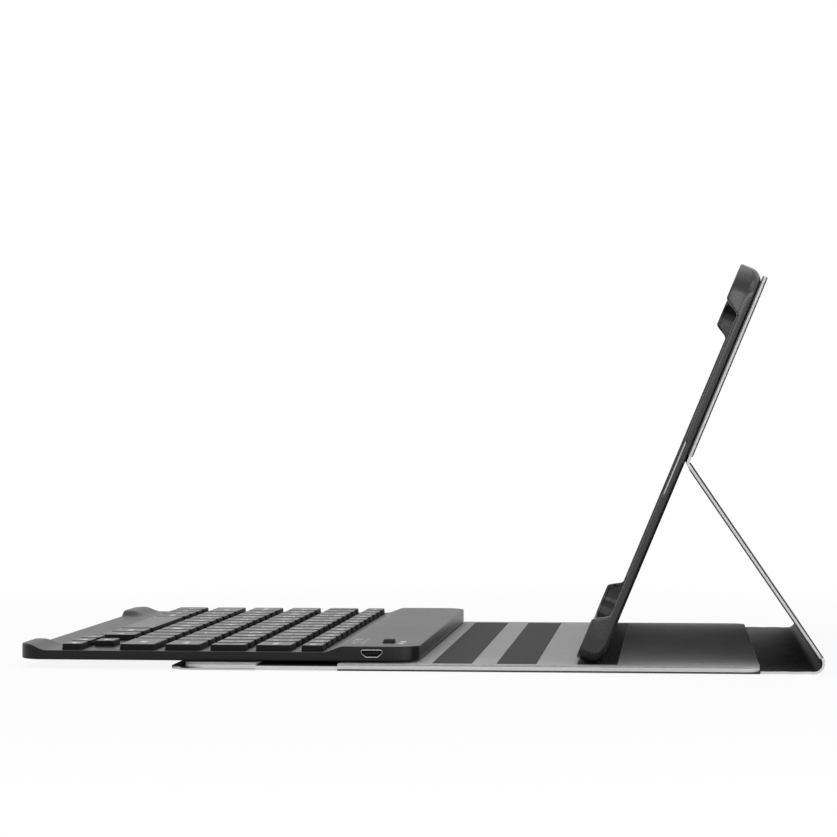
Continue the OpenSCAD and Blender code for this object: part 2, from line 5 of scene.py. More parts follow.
import bmesh
import bpy
import numpy as np
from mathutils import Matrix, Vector


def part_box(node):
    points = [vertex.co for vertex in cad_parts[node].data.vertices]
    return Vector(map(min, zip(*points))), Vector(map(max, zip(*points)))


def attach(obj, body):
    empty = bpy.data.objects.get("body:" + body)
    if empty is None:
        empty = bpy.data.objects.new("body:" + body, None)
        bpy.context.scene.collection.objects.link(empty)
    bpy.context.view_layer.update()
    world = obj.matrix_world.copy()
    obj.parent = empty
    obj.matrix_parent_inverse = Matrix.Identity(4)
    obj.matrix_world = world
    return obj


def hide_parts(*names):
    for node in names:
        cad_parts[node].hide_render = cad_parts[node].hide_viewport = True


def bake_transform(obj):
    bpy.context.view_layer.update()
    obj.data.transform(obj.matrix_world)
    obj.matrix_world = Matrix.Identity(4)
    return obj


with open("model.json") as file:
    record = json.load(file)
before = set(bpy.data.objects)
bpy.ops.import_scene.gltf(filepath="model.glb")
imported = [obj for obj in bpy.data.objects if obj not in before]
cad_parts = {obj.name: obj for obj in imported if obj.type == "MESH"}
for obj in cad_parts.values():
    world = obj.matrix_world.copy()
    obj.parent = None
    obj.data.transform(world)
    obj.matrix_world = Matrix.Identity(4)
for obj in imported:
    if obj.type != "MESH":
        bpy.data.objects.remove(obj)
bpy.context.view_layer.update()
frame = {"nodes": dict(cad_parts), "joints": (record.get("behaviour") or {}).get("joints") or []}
nodes = frame["nodes"]
mm = 0.001  # pieces are worked out in millimetres


def boxOf(node):  # a node's lowest and highest corner at rest
    low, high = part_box(node)
    return np.array(low) / mm, np.array(high) / mm


def jointAt(name):  # the place of a joint's axis
    joint = next(j for j in frame["joints"] if j["name"] == name)
    return np.array(joint["pos_m"]) / mm


folioHalf = boxOf("spine")[1][0]  # half widths of the folio and of its stand
standHalf = boxOf("strut_skin")[1][0]


# Mesh tools

def easeStep(t):  # smooth step: 3t^2 - 2t^3 between 0 and 1
    t = np.clip(t, 0, 1)
    return t * t * (3 - 2 * t)


def halfWave(t):  # half a cosine wave from 0 to 1
    return (1 - np.cos(pi * np.clip(t, 0, 1))) / 2


def roundOver(depth, r):  # drop of a quarter-round edge of radius r at a depth inside the outline
    d = np.minimum(depth, r)
    return r - np.sqrt(np.maximum(r * r - (r - d) ** 2, 0))


def gridLines(low, high, edge, corner, step, runs=()):
    # close lines over each rounded edge and corner, even steps between, and extra runs (from, to, count)
    bend = edge * (1 - np.cos(np.linspace(0, pi / 2, 5)))
    near = np.concatenate([bend, np.linspace(edge, max(corner, edge), 9)])
    middle = np.linspace(low + near[-1], high - near[-1], max(int((high - low) / step), 1) + 1)
    parts = [low + near, high - near, middle] + [np.linspace(a, b, n + 1) for a, b, n in runs]
    return np.unique(np.round(np.concatenate(parts), 4))


class Plan:
    # rounded rectangle from a grid of lines: each corner square of side r is pressed into a quarter disc
    # by x = a*sqrt(1 - b^2/2), y = b*sqrt(1 - a^2/2); depth is the distance inside the outline, and
    # sideShare is 1 where the nearest edge looks along X and 0 where it looks along Y
    def __init__(self, xs, ys, rFront=0.0, rRear=0.0):
        x, y = np.meshgrid(xs, ys, indexing="ij")
        r = np.where(y < (ys[0] + ys[-1]) / 2, max(rFront, 1e-3), max(rRear, 1e-3))
        cx, cy = np.clip(x, xs[0] + r, xs[-1] - r), np.clip(y, ys[0] + r, ys[-1] - r)
        a, b = (x - cx) / r, (y - cy) / r
        self.x = cx + r * a * np.sqrt(1 - b * b / 2)
        self.y = cy + r * b * np.sqrt(1 - a * a / 2)
        qx = np.abs(self.x - (xs[0] + xs[-1]) / 2) - (xs[-1] - xs[0]) / 2 + r
        qy = np.abs(self.y - (ys[0] + ys[-1]) / 2) - (ys[-1] - ys[0]) / 2 + r
        outX, outY = np.maximum(qx, 0), np.maximum(qy, 0)
        far = np.hypot(outX, outY)
        self.depth = np.maximum(r - far - np.minimum(np.maximum(qx, qy), 0), 0)
        self.sideShare = np.where(far > 1e-9, (outX / np.maximum(far, 1e-9)) ** 2, qx > qy)

    def at(self, z):  # the plan's points at a height or a field of heights
        return np.stack([self.x, self.y, np.broadcast_to(z, self.x.shape)], -1)


def boxPlan(low, high, edge, corner, steps, rFront, rRear, runs=()):
    # a plan over a box: close lines at its edges and corners, even steps between, extra runs along Y
    xs = gridLines(low[0], high[0], edge, corner, steps[0])
    ys = gridLines(low[1], high[1], edge, corner, steps[1], runs)
    return Plan(xs, ys, rFront, rRear)


def border(grid):  # the rim of a grid, once round
    return np.concatenate([grid[:-1, 0], grid[-1, :-1], grid[:0:-1, -1], grid[0, :0:-1]])


def roundLoop(x0, y0, x1, y1, r, count=5):
    # outline of a rounded rectangle: a quarter arc at each corner, once round
    a = np.linspace(0, pi / 2, count + 1)
    arcs = [((x1 - r, y1 - r), 0), ((x0 + r, y1 - r), 1), ((x0 + r, y0 + r), 2), ((x1 - r, y0 + r), 3)]
    return np.concatenate([np.column_stack([c[0] + r * np.cos(a + k * pi / 2),
                                            c[1] + r * np.sin(a + k * pi / 2)]) for c, k in arcs])


def circleLoop(x, y, r, count=5):  # a circle: a rounded square whose arcs all but meet
    return roundLoop(x - r, y - r, x + r, y + r, r * 0.999, count)


def filletLoop(corners, r, count=4):
    # a convex outline with each corner rounded by an arc that touches both its sides
    corners = np.array(corners, float)
    loop = []
    for i, corner in enumerate(corners):
        back = corners[i - 1] - corner
        on = corners[(i + 1) % len(corners)] - corner
        back, on = back / np.linalg.norm(back), on / np.linalg.norm(on)
        half = acos(np.dot(back, on)) / 2
        middle = corner + (back + on) / np.linalg.norm(back + on) * r / sin(half)
        start, end = corner + back * r / np.tan(half) - middle, corner + on * r / np.tan(half) - middle
        t = np.linspace(0, 1, count + 1)[:, None]
        arc = start * (1 - t) + end * t
        loop.append(middle + arc / np.linalg.norm(arc, axis=1)[:, None] * r)
    return np.concatenate(loop)


class Surface:
    # gathers grids of points, in millimetres, into one mesh of quads
    def __init__(self):
        self.points, self.quads, self.count = [], [], 0

    def grid(self, points, wrapU=False, wrapV=False):  # a wrapped side joins its last line to its first
        n, m = points.shape[:2]
        i, j = np.meshgrid(np.arange(n - (not wrapU)), np.arange(m - (not wrapV)), indexing="ij")
        i2, j2 = (i + 1) % n, (j + 1) % m
        quads = np.stack([i * m + j, i2 * m + j, i2 * m + j2, i * m + j2], -1).reshape(-1, 4)
        self.points.append(points.reshape(-1, 3))
        self.quads.append(quads + self.count)
        self.count += n * m
        return self

    def loops(self, *rings):  # a wall through closed rings of equal count
        return self.grid(np.stack(rings), wrapV=True)

    def prism(self, outline, low, high):  # a closed block of a convex outline
        centre = outline.mean(0)
        rows = [(0, low), (1, low), (1, high), (0, high)]
        return self.loops(*[np.column_stack([centre + (outline - centre) * s, np.full(len(outline), z)])
                            for s, z in rows])

    def slab(self, plan, low, high):  # a closed sheet between two height fields on one plan
        top, under = plan.at(high), plan.at(low)
        return self.grid(top).loops(border(top), border(under)).grid(under)


def cleanMesh(mesh, merge, thin=0):  # merges doubles, drops slivers if a width is given, turns faces outwards
    work = bmesh.new()
    work.from_mesh(mesh)
    bmesh.ops.remove_doubles(work, verts=work.verts, dist=merge)
    if thin:
        bmesh.ops.dissolve_degenerate(work, edges=work.edges, dist=thin)
    bmesh.ops.recalc_face_normals(work, faces=work.faces)
    work.to_mesh(mesh)
    work.free()
    return mesh


def meshOf(name, surface, place=None):  # a surface as a mesh in metres, put in its place if it has one
    points, quads = np.concatenate(surface.points), np.concatenate(surface.quads)
    if place is not None:
        points = points @ place[0].T + place[1]
    mesh = bpy.data.meshes.new(name)
    mesh.vertices.add(len(points))
    mesh.vertices.foreach_set("co", (points * mm).ravel())
    mesh.loops.add(quads.size)
    mesh.loops.foreach_set("vertex_index", quads.ravel().astype(np.int32))
    mesh.polygons.add(len(quads))
    mesh.polygons.foreach_set("loop_start", np.arange(0, quads.size, 4, dtype=np.int32))
    mesh.update(calc_edges=True)
    return cleanMesh(mesh, 2e-7, 1e-7)


def addObject(name, data):  # a new object, linked to the scene
    made = bpy.data.objects.new(name, data)
    bpy.context.scene.collection.objects.link(made)
    return made


def evaluatedMesh(holder):  # what an object looks like with its modifiers, or a curve with its type set
    graph = bpy.context.evaluated_depsgraph_get()
    graph.update()
    return bpy.data.meshes.new_from_object(holder.evaluated_get(graph))


def carve(piece, cutters, place=None):  # takes the cutters' blocks out of a piece
    tool = addObject("carveTool", meshOf("carveTool", cutters, place))
    cut = piece.modifiers.new("carve", "BOOLEAN")
    cut.operation, cut.solver, cut.object = "DIFFERENCE", "EXACT", tool
    carved = evaluatedMesh(piece)
    piece.modifiers.clear()
    old, piece.data = piece.data, carved
    bpy.data.meshes.remove(old)
    bpy.data.objects.remove(tool)


def shadeByAngle(mesh, angle):  # smooth, but sharp where two faces meet at more than the angle
    mesh.polygons.foreach_set("use_smooth", np.ones(len(mesh.polygons), bool))
    mesh.set_sharp_from_angle(angle=radians(angle))


def addPiece(name, surface, body, slot, finish, replaced=(), place=None, cutters=None, sharp=35):
    # a finished piece; one with no body is left unattached
    piece = addObject(name, meshOf(name, surface, place))
    if cutters is not None:
        carve(piece, cutters, place)
    shadeByAngle(piece.data, sharp)
    piece.data.materials.clear()
    piece.data.materials.append(finish)
    if body is not None:
        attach(piece, body)
    if replaced:
        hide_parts(*replaced)
    return piece


def leaning(angle, origin):  # a frame turned about X, for the leaning panels
    a = radians(angle)
    return np.array([[1, 0, 0], [0, cos(a), -sin(a)], [0, sin(a), cos(a)]]), np.array(origin)


# Shader tools

class Shade:
    # a socket with arithmetic; an expression on values adds Math nodes
    def __init__(self, tree, socket=None):
        self.tree, self.socket = tree, socket

    def node(self, kind, settings=None, inputs=None, out=0):  # an input is a value or another socket
        made = self.tree.nodes.new(kind)
        for key, value in (settings or {}).items():
            setattr(made, key, value)
        for key, value in (inputs or {}).items():
            if isinstance(value, Shade):
                self.tree.links.new(value.socket, made.inputs[key])
            else:
                made.inputs[key].default_value = value
        return Shade(self.tree, made.outputs[out])

    def maths(self, operation, first, second=0.0):
        return self.node("ShaderNodeMath", {"operation": operation}, {0: first, 1: second})

    def __add__(self, other):
        return self.maths("ADD", self, other)

    def __radd__(self, other):
        return self.maths("ADD", other, self)

    def __sub__(self, other):
        return self.maths("SUBTRACT", self, other)

    def __rsub__(self, other):
        return self.maths("SUBTRACT", other, self)

    def __mul__(self, other):
        return self.maths("MULTIPLY", self, other)

    def __rmul__(self, other):
        return self.maths("MULTIPLY", other, self)

    def magnitude(self):
        return self.maths("ABSOLUTE", self)

    def between(self, low, high):  # smooth 0 to 1 as the value runs from low to high
        return self.node("ShaderNodeMapRange", {"interpolation_type": "SMOOTHSTEP"},
                         {0: self, 1: low, 2: high, 3: 0.0, 4: 1.0})

    def toned(self, dark, light):  # a colour from dark to light as the value runs from 0 to 1
        return self.node("ShaderNodeMix", {"data_type": "RGBA"}, {0: self, 6: (*dark, 1), 7: (*light, 1)}, 2)

    def over(self, under, tone):  # a tone laid over another colour where the value is 1
        return self.node("ShaderNodeMix", {"data_type": "RGBA"}, {0: self, 6: under, 7: (*tone, 1)}, 2)

    def bump(self, depth, strength):  # relief of the given depth in millimetres
        heights = {"Height": self, "Distance": depth * mm, "Strength": strength}
        return self.node("ShaderNodeBump", None, heights)


def newFinish(name, recipe, **fixed):
    # recipe(coords, noise) gives the sockets that vary; the fixed numbers are set on the shader itself
    made = bpy.data.materials.new(name)
    made.use_nodes = True
    tree = made.node_tree
    shader = tree.nodes["Principled BSDF"]
    coords = Shade(tree).node("ShaderNodeTexCoord", out="Object")

    def noise(size, detail=3.0, stretch=(1, 1, 1)):  # noise whose features are size mm across
        scale = tuple(s / (size * mm) for s in stretch)
        at = coords.node("ShaderNodeMapping", None, {"Vector": coords, "Scale": scale})
        return at.node("ShaderNodeTexNoise", None,
                       {"Vector": at, "Scale": 1.0, "Detail": detail, "Roughness": 0.55})

    for key, value in recipe(coords, noise).items():
        tree.links.new(value.socket, shader.inputs[key])
    for key, value in fixed.items():
        shader.inputs[key.replace("_", " ")].default_value = value
    return made


def axisOf(vector, axis):  # one part of a vector
    return vector.node("ShaderNodeSeparateXYZ", None, {0: vector}, "XYZ".index(axis))


def upwardness(coords):  # how far a face looks up, from -1 to 1, in the piece's own frame
    return axisOf(coords.node("ShaderNodeTexCoord", out="Normal"), "Z")


def grey(value, warm=0.0):  # a grey tone, a little warm or, below 0, a little cold
    return (value * (1 + warm), value, value * (1 - warm))


def pebbles(coords, size):  # leather grain: raised cells of the given size, parted by creases
    warp = coords.node("ShaderNodeTexNoise", None, {"Vector": coords, "Scale": 400 / size}, 1)
    bent = coords.node("ShaderNodeVectorMath", {"operation": "MULTIPLY_ADD"},
                       {0: warp, 1: (size * mm * 0.7,) * 3, 2: coords})
    cells = coords.node("ShaderNodeTexVoronoi", {"feature": "DISTANCE_TO_EDGE"},
                        {"Vector": bent, "Scale": 1 / (size * mm)})
    return cells.between(0.0, 0.32)


def sideFaces(coords):  # a mask of the faces that look sideways
    return 1 - upwardness(coords).magnitude().between(0.3, 0.6)


def lastBit(half, start=0.22, full=0.08):
    # a mask of a piece's two ends along X: it starts and is full at these distances short of the half width
    def mask(coords):
        return axisOf(coords, "X").magnitude().between((half - start) * mm, (half - full) * mm)
    return mask


def leatherFinish(name, tone, cutMask=None):
    # pebbled coated cloth with soft tone changes; where it is cut, its edge shows the pale backing
    def recipe(coords, noise):
        grain, patches = pebbles(coords, 0.9), noise(22, 4)
        base = (grain * 0.6 + patches * 0.5).toned(grey(tone * 0.62), grey(tone * 1.35, 0.01))
        relief = grain + noise(0.25, 2) * 0.35
        if cutMask:
            cut = cutMask(coords)
            base = cut.over(base, grey(0.64))
            relief = relief * (1 - cut)
        return {"Base Color": base,
                "Roughness": 0.62 - grain * 0.12 + patches * 0.08,
                "Normal": relief.bump(0.06, 0.8)}
    return newFinish(name, recipe, Specular_IOR_Level=0.4)


def liningFinish(name, tone):  # brushed microfibre: fine nap with tufts and broad strokes
    def recipe(coords, noise):
        nap, tufts = noise(0.35, 2, (1, 0.5, 1)), noise(2.4, 3, (0.8, 1, 1))
        strokes = noise(28, 4, (0.6, 1, 1))
        shade = nap * 0.3 + tufts.between(0.3, 0.7) * 0.35 + strokes * 0.35
        return {"Base Color": shade.toned(grey(tone * 0.72), grey(tone * 1.28, 0.008)),
                "Roughness": 0.78 + nap * 0.2,
                "Normal": (nap + tufts * 0.6).bump(0.06, 0.7)}
    return newFinish(name, recipe, Sheen_Weight=0.25, Sheen_Roughness=0.5, Specular_IOR_Level=0.3)


def boardFinish(name, tone):  # pressed grey board, seen at the panels' cut edges
    def recipe(coords, noise):
        fibres = noise(0.6, 4, (0.2, 0.2, 2))
        return {"Base Color": fibres.toned(grey(tone * 0.92), grey(tone * 1.05, 0.01)),
                "Roughness": 0.8 + fibres * 0.15,
                "Normal": fibres.bump(0.004, 0.3)}
    return newFinish(name, recipe, Specular_IOR_Level=0.25)


def plasticTone(grain, cloud, tone):  # fine grain and slow clouds, half each
    return (grain * 0.5 + cloud * 0.5).toned(grey(tone * 0.75), grey(tone * 1.3, -0.008))


def mouldedFinish(name, tone, rough, grainSize=0.16, grainDepth=0.012, wear=8, specular=0.35):
    # moulded plastic or rubber: spark-eroded grain, slow gloss changes and faint handling marks
    def recipe(coords, noise):
        grain, cloud = noise(grainSize, 2), noise(wear, 4)
        return {"Base Color": plasticTone(grain, cloud, tone),
                "Roughness": (rough - 0.05) + cloud * 0.05 + grain * 0.05,
                "Normal": grain.bump(grainDepth, 0.5)}
    return newFinish(name, recipe, Specular_IOR_Level=specular)


def shellFinish(name, tone, rough, size):  # moulded shell with a fine hide texture of the given size
    def recipe(coords, noise):
        grain, cloud = noise(size, 3), noise(14, 4)
        pores = grain.between(0.3, 0.7) * 0.75 + cloud * 0.25
        return {"Base Color": pores.toned(grey(tone * 0.3), grey(tone * 1.7)),
                "Roughness": (rough - 0.06) + cloud * 0.05 + grain * 0.07,
                "Normal": grain.bump(0.006, 0.5)}
    return newFinish(name, recipe, Specular_IOR_Level=0.5)


def capFinish(name, tone, rough, gloss):  # satin on the upward faces only: the skirts stay dull and dark
    def recipe(coords, noise):
        topFaces = upwardness(coords).between(0.5, 0.95)
        grain, cloud = noise(0.12, 2), noise(5, 4)
        return {"Base Color": plasticTone(grain, cloud, tone),
                "Roughness": (rough + 0.2) - topFaces * 0.2 + cloud * 0.08 + grain * 0.05,
                "Coat Weight": topFaces * gloss - cloud * 0.12,
                "Normal": grain.bump(0.01, 0.5)}
    return newFinish(name, recipe, Specular_IOR_Level=0.1, Coat_Roughness=rough)


def metalFinish(name, tone, rough, stretch=(0.05, 1, 1)):  # rolled metal with fine lines along one axis
    def recipe(coords, noise):
        lines, stain = noise(0.3, 3, stretch), noise(7, 4)
        return {"Base Color": (lines * 0.6 + stain * 0.4).toned(grey(tone * 0.8), grey(tone * 1.08, 0.01)),
                "Roughness": rough + lines * 0.12 + stain * 0.06,
                "Normal": lines.bump(0.006, 0.5)}
    return newFinish(name, recipe, Metallic=1.0)


def plainFinish(name, dark, light, size, rough, **fixed):  # two close tones in soft grains
    def recipe(coords, noise):
        grain = noise(size, 4)
        return {"Base Color": grain.toned(dark, light),
                "Roughness": (rough - 0.05) + grain * 0.1,
                "Normal": grain.bump(0.02, 0.4)}
    return newFinish(name, recipe, **fixed)


def stripedFinish(name, axis, pitch, dark, light, rough):  # even stripes across one axis
    def recipe(coords, noise):
        wave = coords.maths("SINE", axisOf(coords, axis) * (2 * pi / (pitch * mm)))
        return {"Base Color": wave.between(-0.2, 0.2).toned(dark, light),
                "Roughness": rough + noise(1.5) * 0.1}
    return newFinish(name, recipe)


evenGrain = (1, 1, 1)  # plated or cast metal has no rolling lines
finishes = dict(
    leather=leatherFinish("coated_leather", 0.03),
    edgedLeather=leatherFinish("coated_leather_edged", 0.03, lastBit(standHalf)),
    wideLeather=leatherFinish("coated_leather_wide", 0.03, lastBit(folioHalf)),
    lipLeather=leatherFinish("coated_leather_lip", 0.03, sideFaces),
    lining=liningFinish("microfibre_lining", 0.34),
    darkLining=liningFinish("dark_lining", 0.03),
    board=boardFinish("grey_board", 0.6),
    # near-black rubber for the strips; its darkness also serves as painted shadow behind the shell's foot
    grip=mouldedFinish("grip_rubber_and_shade", 0.028, 0.7, 0.3, 0.03, specular=0.12),
    shell=shellFinish("satin_shell", 0.011, 0.27, 0.8),
    bond=plainFinish("bond_sheet", grey(0.06), grey(0.1), 1.5, 0.6),
    steel=metalFinish("rolled_steel", 0.55, 0.28),
    darkSteel=metalFinish("blackened_steel", 0.07, 0.38),
    magnet=metalFinish("nickel_plate", 0.62, 0.2, evenGrain),
    casing=mouldedFinish("keyboard_casing", 0.008, 0.37, 0.14, 0.008, 18, 0.17),
    keycap=capFinish("keycap_plastic", 0.008, 0.38, 0.68),
    ink=plainFinish("legend_ink", grey(0.82), grey(0.92), 0.4, 0.55),
    membrane=stripedFinish("contact_membrane", "X", 3.0, grey(0.05), grey(0.12), 0.35),
    dome=plainFinish("silicone_dome", (0.55, 0.57, 0.58), (0.68, 0.7, 0.71), 1.0, 0.45),
    circuit=stripedFinish("solder_mask", "Y", 1.8, (0.012, 0.06, 0.025), (0.02, 0.1, 0.04), 0.3),
    ribbon=stripedFinish("ribbon_film", "X", 1.0, (0.3, 0.14, 0.03), (0.5, 0.3, 0.09), 0.3),
    cell=plainFinish("cell_pouch", (0.4, 0.4, 0.42), (0.52, 0.52, 0.53), 5, 0.35, Metallic=0.6),
    lead=stripedFinish("lead_sheath", "Y", 2.4, (0.3, 0.02, 0.02), grey(0.015), 0.4),
    port=metalFinish("socket_nickel", 0.72, 0.2, evenGrain),
    knob=mouldedFinish("switch_plastic", 0.006, 0.5, 0.16, 0.006, specular=0.2),
    lamp=plainFinish("lamp_window", (0.5, 0.51, 0.52), (0.62, 0.63, 0.64), 0.5, 0.25),
    foot=mouldedFinish("foot_rubber", 0.014, 0.75, 0.25, 0.03),
    screw=metalFinish("dark_screw", 0.18, 0.32, evenGrain),
)
print("finishes:", len(finishes))


# Camera, light and floor

def pointedAlong(direction):  # the turn of a camera or a lamp that looks along a direction
    return Vector(direction).to_track_quat("-Z", "Y").to_euler()


view = dict(at=(1.2184, 0.1036, 0.0935), yaw=-5.35, pitch=0.387, lens=118.08, sensor=36, clip=(0.05, 50))
camera = addObject("camera", bpy.data.cameras.new("camera"))
camera.data.lens, camera.data.sensor_width = view["lens"], view["sensor"]
camera.data.clip_start, camera.data.clip_end = view["clip"]
camera.location = view["at"]
yaw, pitch = radians(view["yaw"]), radians(view["pitch"])
camera.rotation_euler = pointedAlong((-cos(yaw) * cos(pitch), sin(yaw) * cos(pitch), sin(pitch)))
bpy.context.scene.camera = camera
bpy.context.scene.view_settings.view_transform = "Standard"

studio = dict(  # lamps: place and size in metres, power in watts
    world=0.42,
    lamps=dict(top=((0.0, -0.1, 1.3), (1.6, 1.6), 9.0), rear=((0.5, 1.3, 0.75), (1.0, 0.7), 3.0),
               front=((0.5, -1.3, 0.7), (0.9, 0.6), 1.5), side=((0.5, 0.62, 0.06), (1.0, 0.11), 1.7),
               eye=((1.7, 0.16, 0.28), (0.4, 0.3), 2.2)),
    aim=(0, 0, 0.05), floorSize=12, floorAt=-0.12, floorTone=0.85, floorRough=0.9, floorWhite=0.9,
    floorClear=(0.25, 0.6))


def addLamp(name, at, size, power):  # a soft box that looks at the aim and isn't seen itself
    lamp = bpy.data.lights.new(name, "AREA")
    lamp.shape, lamp.size, lamp.size_y, lamp.energy = "RECTANGLE", *size, power
    holder = addObject(name, lamp)
    holder.location = at
    holder.rotation_euler = pointedAlong(Vector(studio["aim"]) - Vector(at))
    holder.visible_camera = False


def seenRays(start):  # 1 for rays that show the background: camera, mirror and glass rays
    path = start.tree.nodes.new("ShaderNodeLightPath")
    kinds = ("Is Camera Ray", "Is Glossy Ray", "Is Transmission Ray")
    rays = [Shade(start.tree, path.outputs[kind]) for kind in kinds]
    return start.maths("MINIMUM", rays[0] + rays[1] + rays[2], 1.0)


for lampName, lampSet in studio["lamps"].items():
    addLamp("lamp_" + lampName, *lampSet)
world = bpy.data.worlds.new("studio")
bpy.context.scene.world = world
world.use_nodes = True
sky = world.node_tree.nodes["Background"]
sky.inputs["Color"].default_value = (1, 1, 1, 1)
skyLevel = studio["world"] + seenRays(Shade(world.node_tree)) * (1 - studio["world"])
world.node_tree.links.new(skyLevel.socket, sky.inputs["Strength"])

half = studio["floorSize"] / 2 / mm
floorPlan = np.meshgrid([-half, half], [-half, half], indexing="ij")
floorSheet = Surface().grid(np.stack([*floorPlan, np.full((2, 2), studio["floorAt"])], -1))
floor = addObject("floor", meshOf("floor", floorSheet))
floorPaint = bpy.data.materials.new("floor_paint")
floorPaint.use_nodes = True
paint = floorPaint.node_tree
matt = paint.nodes["Principled BSDF"]
matt.inputs["Base Color"].default_value = (*grey(studio["floorTone"]), 1)
matt.inputs["Roughness"].default_value = studio["floorRough"]
glow = Shade(paint).node("ShaderNodeEmission", None, {"Color": (1, 1, 1, 1), "Strength": 1.0})
spot = glow.node("ShaderNodeTexCoord", out="Object")
distance = spot.node("ShaderNodeVectorMath", {"operation": "LENGTH"}, {0: spot}, "Value")
away = distance.between(*studio["floorClear"])
white = studio["floorWhite"] + away * (1 - studio["floorWhite"])  # far off no shadow shows, so no horizon
mixed = glow.node("ShaderNodeMixShader", None,
                  {0: seenRays(glow) * white, 1: Shade(paint, matt.outputs[0]), 2: glow})
paint.links.new(mixed.socket, paint.nodes["Material Output"].inputs[0])
floor.data.materials.append(floorPaint)
print("camera, lamps and floor")


# Keyboard casing

casing = dict(corner=10.0, edge=0.45, wall=2.2, web=0.8, deckWall=1.2, tray=3.8, padLength=32.0, padRamp=9.0,
              padDepth=11.7, padFlat=3.6, rampStart=124.6, rampLength=8.7, padLines=10, rampLines=14,
              steps=(6, 5))
coverLow, coverHigh = boxOf("top_cover")
underLow, underHigh = boxOf("bottom_cover")
trayTop = underLow[2] + casing["tray"]
deckRise = coverHigh[2] - trayTop
frontY = coverLow[1]
rampFrom = frontY + casing["rampStart"]
padFrom = coverHigh[0] - casing["padLength"] - casing["padRamp"]


def overDeck(y):  # 0 over the tray, 1 over the rear deck, a smooth ramp between
    return easeStep((y - frontY - casing["rampStart"]) / casing["rampLength"])


def casingHeight(x, y):
    # tray level, plus the larger of the rear deck's smooth ramp and the two front corner pads
    along = easeStep((np.abs(x) - coverHigh[0] + casing["padLength"] + casing["padRamp"]) / casing["padRamp"])
    across = easeStep((casing["padDepth"] - (y - frontY)) / (casing["padDepth"] - casing["padFlat"]))
    return trayTop + deckRise * np.maximum(overDeck(y), along * across)


coverXs = gridLines(coverLow[0], coverHigh[0], casing["edge"], casing["corner"], casing["steps"][0],
                    [(s * padFrom, s * (padFrom + casing["padRamp"]), casing["padLines"]) for s in (-1, 1)])
coverYs = gridLines(coverLow[1], coverHigh[1], casing["edge"], casing["corner"], casing["steps"][1],
                    [(frontY + casing["padFlat"], frontY + casing["padDepth"], casing["rampLines"]),
                     (rampFrom, rampFrom + casing["rampLength"], casing["rampLines"])])
outside = Plan(coverXs, coverYs, casing["corner"], casing["corner"])
shrink = [1 - 2 * casing["wall"] / (high - low) for low, high in zip(coverLow[:2], coverHigh[:2])]
innerYs = (coverYs - coverYs.mean()) * shrink[1] + coverYs.mean()
innerRound = casing["corner"] - casing["wall"]
inside = Plan(coverXs * shrink[0], innerYs, innerRound, innerRound)
topSkin = outside.at(casingHeight(outside.x, outside.y) - roundOver(outside.depth, casing["edge"]))
deckShare = overDeck(inside.y)
innerSkin = inside.at(trayTop + deckRise * deckShare - casing["web"]
                      - (casing["deckWall"] - casing["web"]) * deckShare)
outerFoot, innerFoot = border(topSkin), border(innerSkin)
outerFoot[:, 2] = innerFoot[:, 2] = coverLow[2]
coverSkin = Surface().grid(topSkin).loops(border(topSkin), outerFoot, innerFoot, border(innerSkin))
coverSkin.grid(innerSkin)

# Keys: each row's caps share its frame box by their widths in units
keyGap = 3.0
keyRows = {
    "fn_key": [("fn", 1)], "control_key": [("ctrl", 1)], "alt_key": [("alt", 1)], "meta_key": [("meta", 1)],
    "space_bar": [("", 1)], "right_meta_key": [("meta", 1)], "right_alt_key": [("alt", 1)],
    "left_shift_key": [("shift", 1)], "lower_letter_keys": [(c, 1) for c in "ZXCVBNM,./"],
    "right_shift_key": [("shift", 1)], "caps_key": [("caps lock", 1)],
    "home_letter_keys": [(c, 1) for c in "ASDFGHJKL;'"], "enter_key": [("enter", 1)], "tab_key": [("tab", 1)],
    "upper_letter_keys": [(c, 1) for c in "QWERTYUIOP[]"] + [("\\", 0.75)],
    "number_keys": [("`", 0.75)] + [(c, 1) for c in "1234567890-="], "backspace_key": [("back", 1)],
    "escape_key": [("esc", 1)], "function_keys": [("F%d" % n, 1) for n in range(1, 13)] + [("del", 1)],
    "left_arrow_key": [("<", 1)], "down_arrow_key": [("v", 1)], "right_arrow_key": [(">", 1)],
    "up_arrow_key": [("^", 1)]}


def capBoxes(node):  # left, front, right and rear edge of each cap in a row
    low, high = boxOf(node)
    widths = np.array([width for word, width in keyRows[node]])
    pitch = (high[0] - low[0] + keyGap) / widths.sum()
    lefts = low[0] + pitch * (np.cumsum(widths) - widths)
    return [(left, low[1], left + pitch * width - keyGap, high[1]) for left, width in zip(lefts, widths)]


socket = dict(topHalf=4.4, lowHalf=2.5, lowGrow=0.6, shoulder=0.2, corner=0.7, gap=0.15, cut=(121.0, 127.0),
              wall=0.25, boreCorner=0.5, deep=4.2, rollOut=0.15, rollIn=0.12, rollShare=0.02, shadeLiner=0.12,
              linerFit=0.02, linerCorner=0.45, linerLip=0.3, linerFloor=0.4)
socketLow, socketHigh = boxOf("usb_socket")
socketY, socketZ = (socketLow[1] + socketHigh[1]) / 2, (socketLow[2] + socketHigh[2]) / 2


def socketOutline(grow, r):  # wide above, narrower below, as the charging plug is keyed
    tall, shoulder = (socketHigh[2] - socketLow[2]) / 2 + grow, socket["shoulder"]
    wide, narrow = socket["topHalf"] + grow, socket["lowHalf"] + grow * socket["lowGrow"]
    return filletLoop([(-wide, tall), (-wide, shoulder), (-narrow, -tall), (narrow, -tall), (wide, shoulder),
                       (wide, tall)], r)


def alongX(*rings):
    # closed rings from (outline in Y and Z about the socket's middle, its scale, place along X)
    return [np.column_stack([np.full(len(outline), x), outline * scale + (socketY, socketZ)])
            for outline, scale, x in rings]


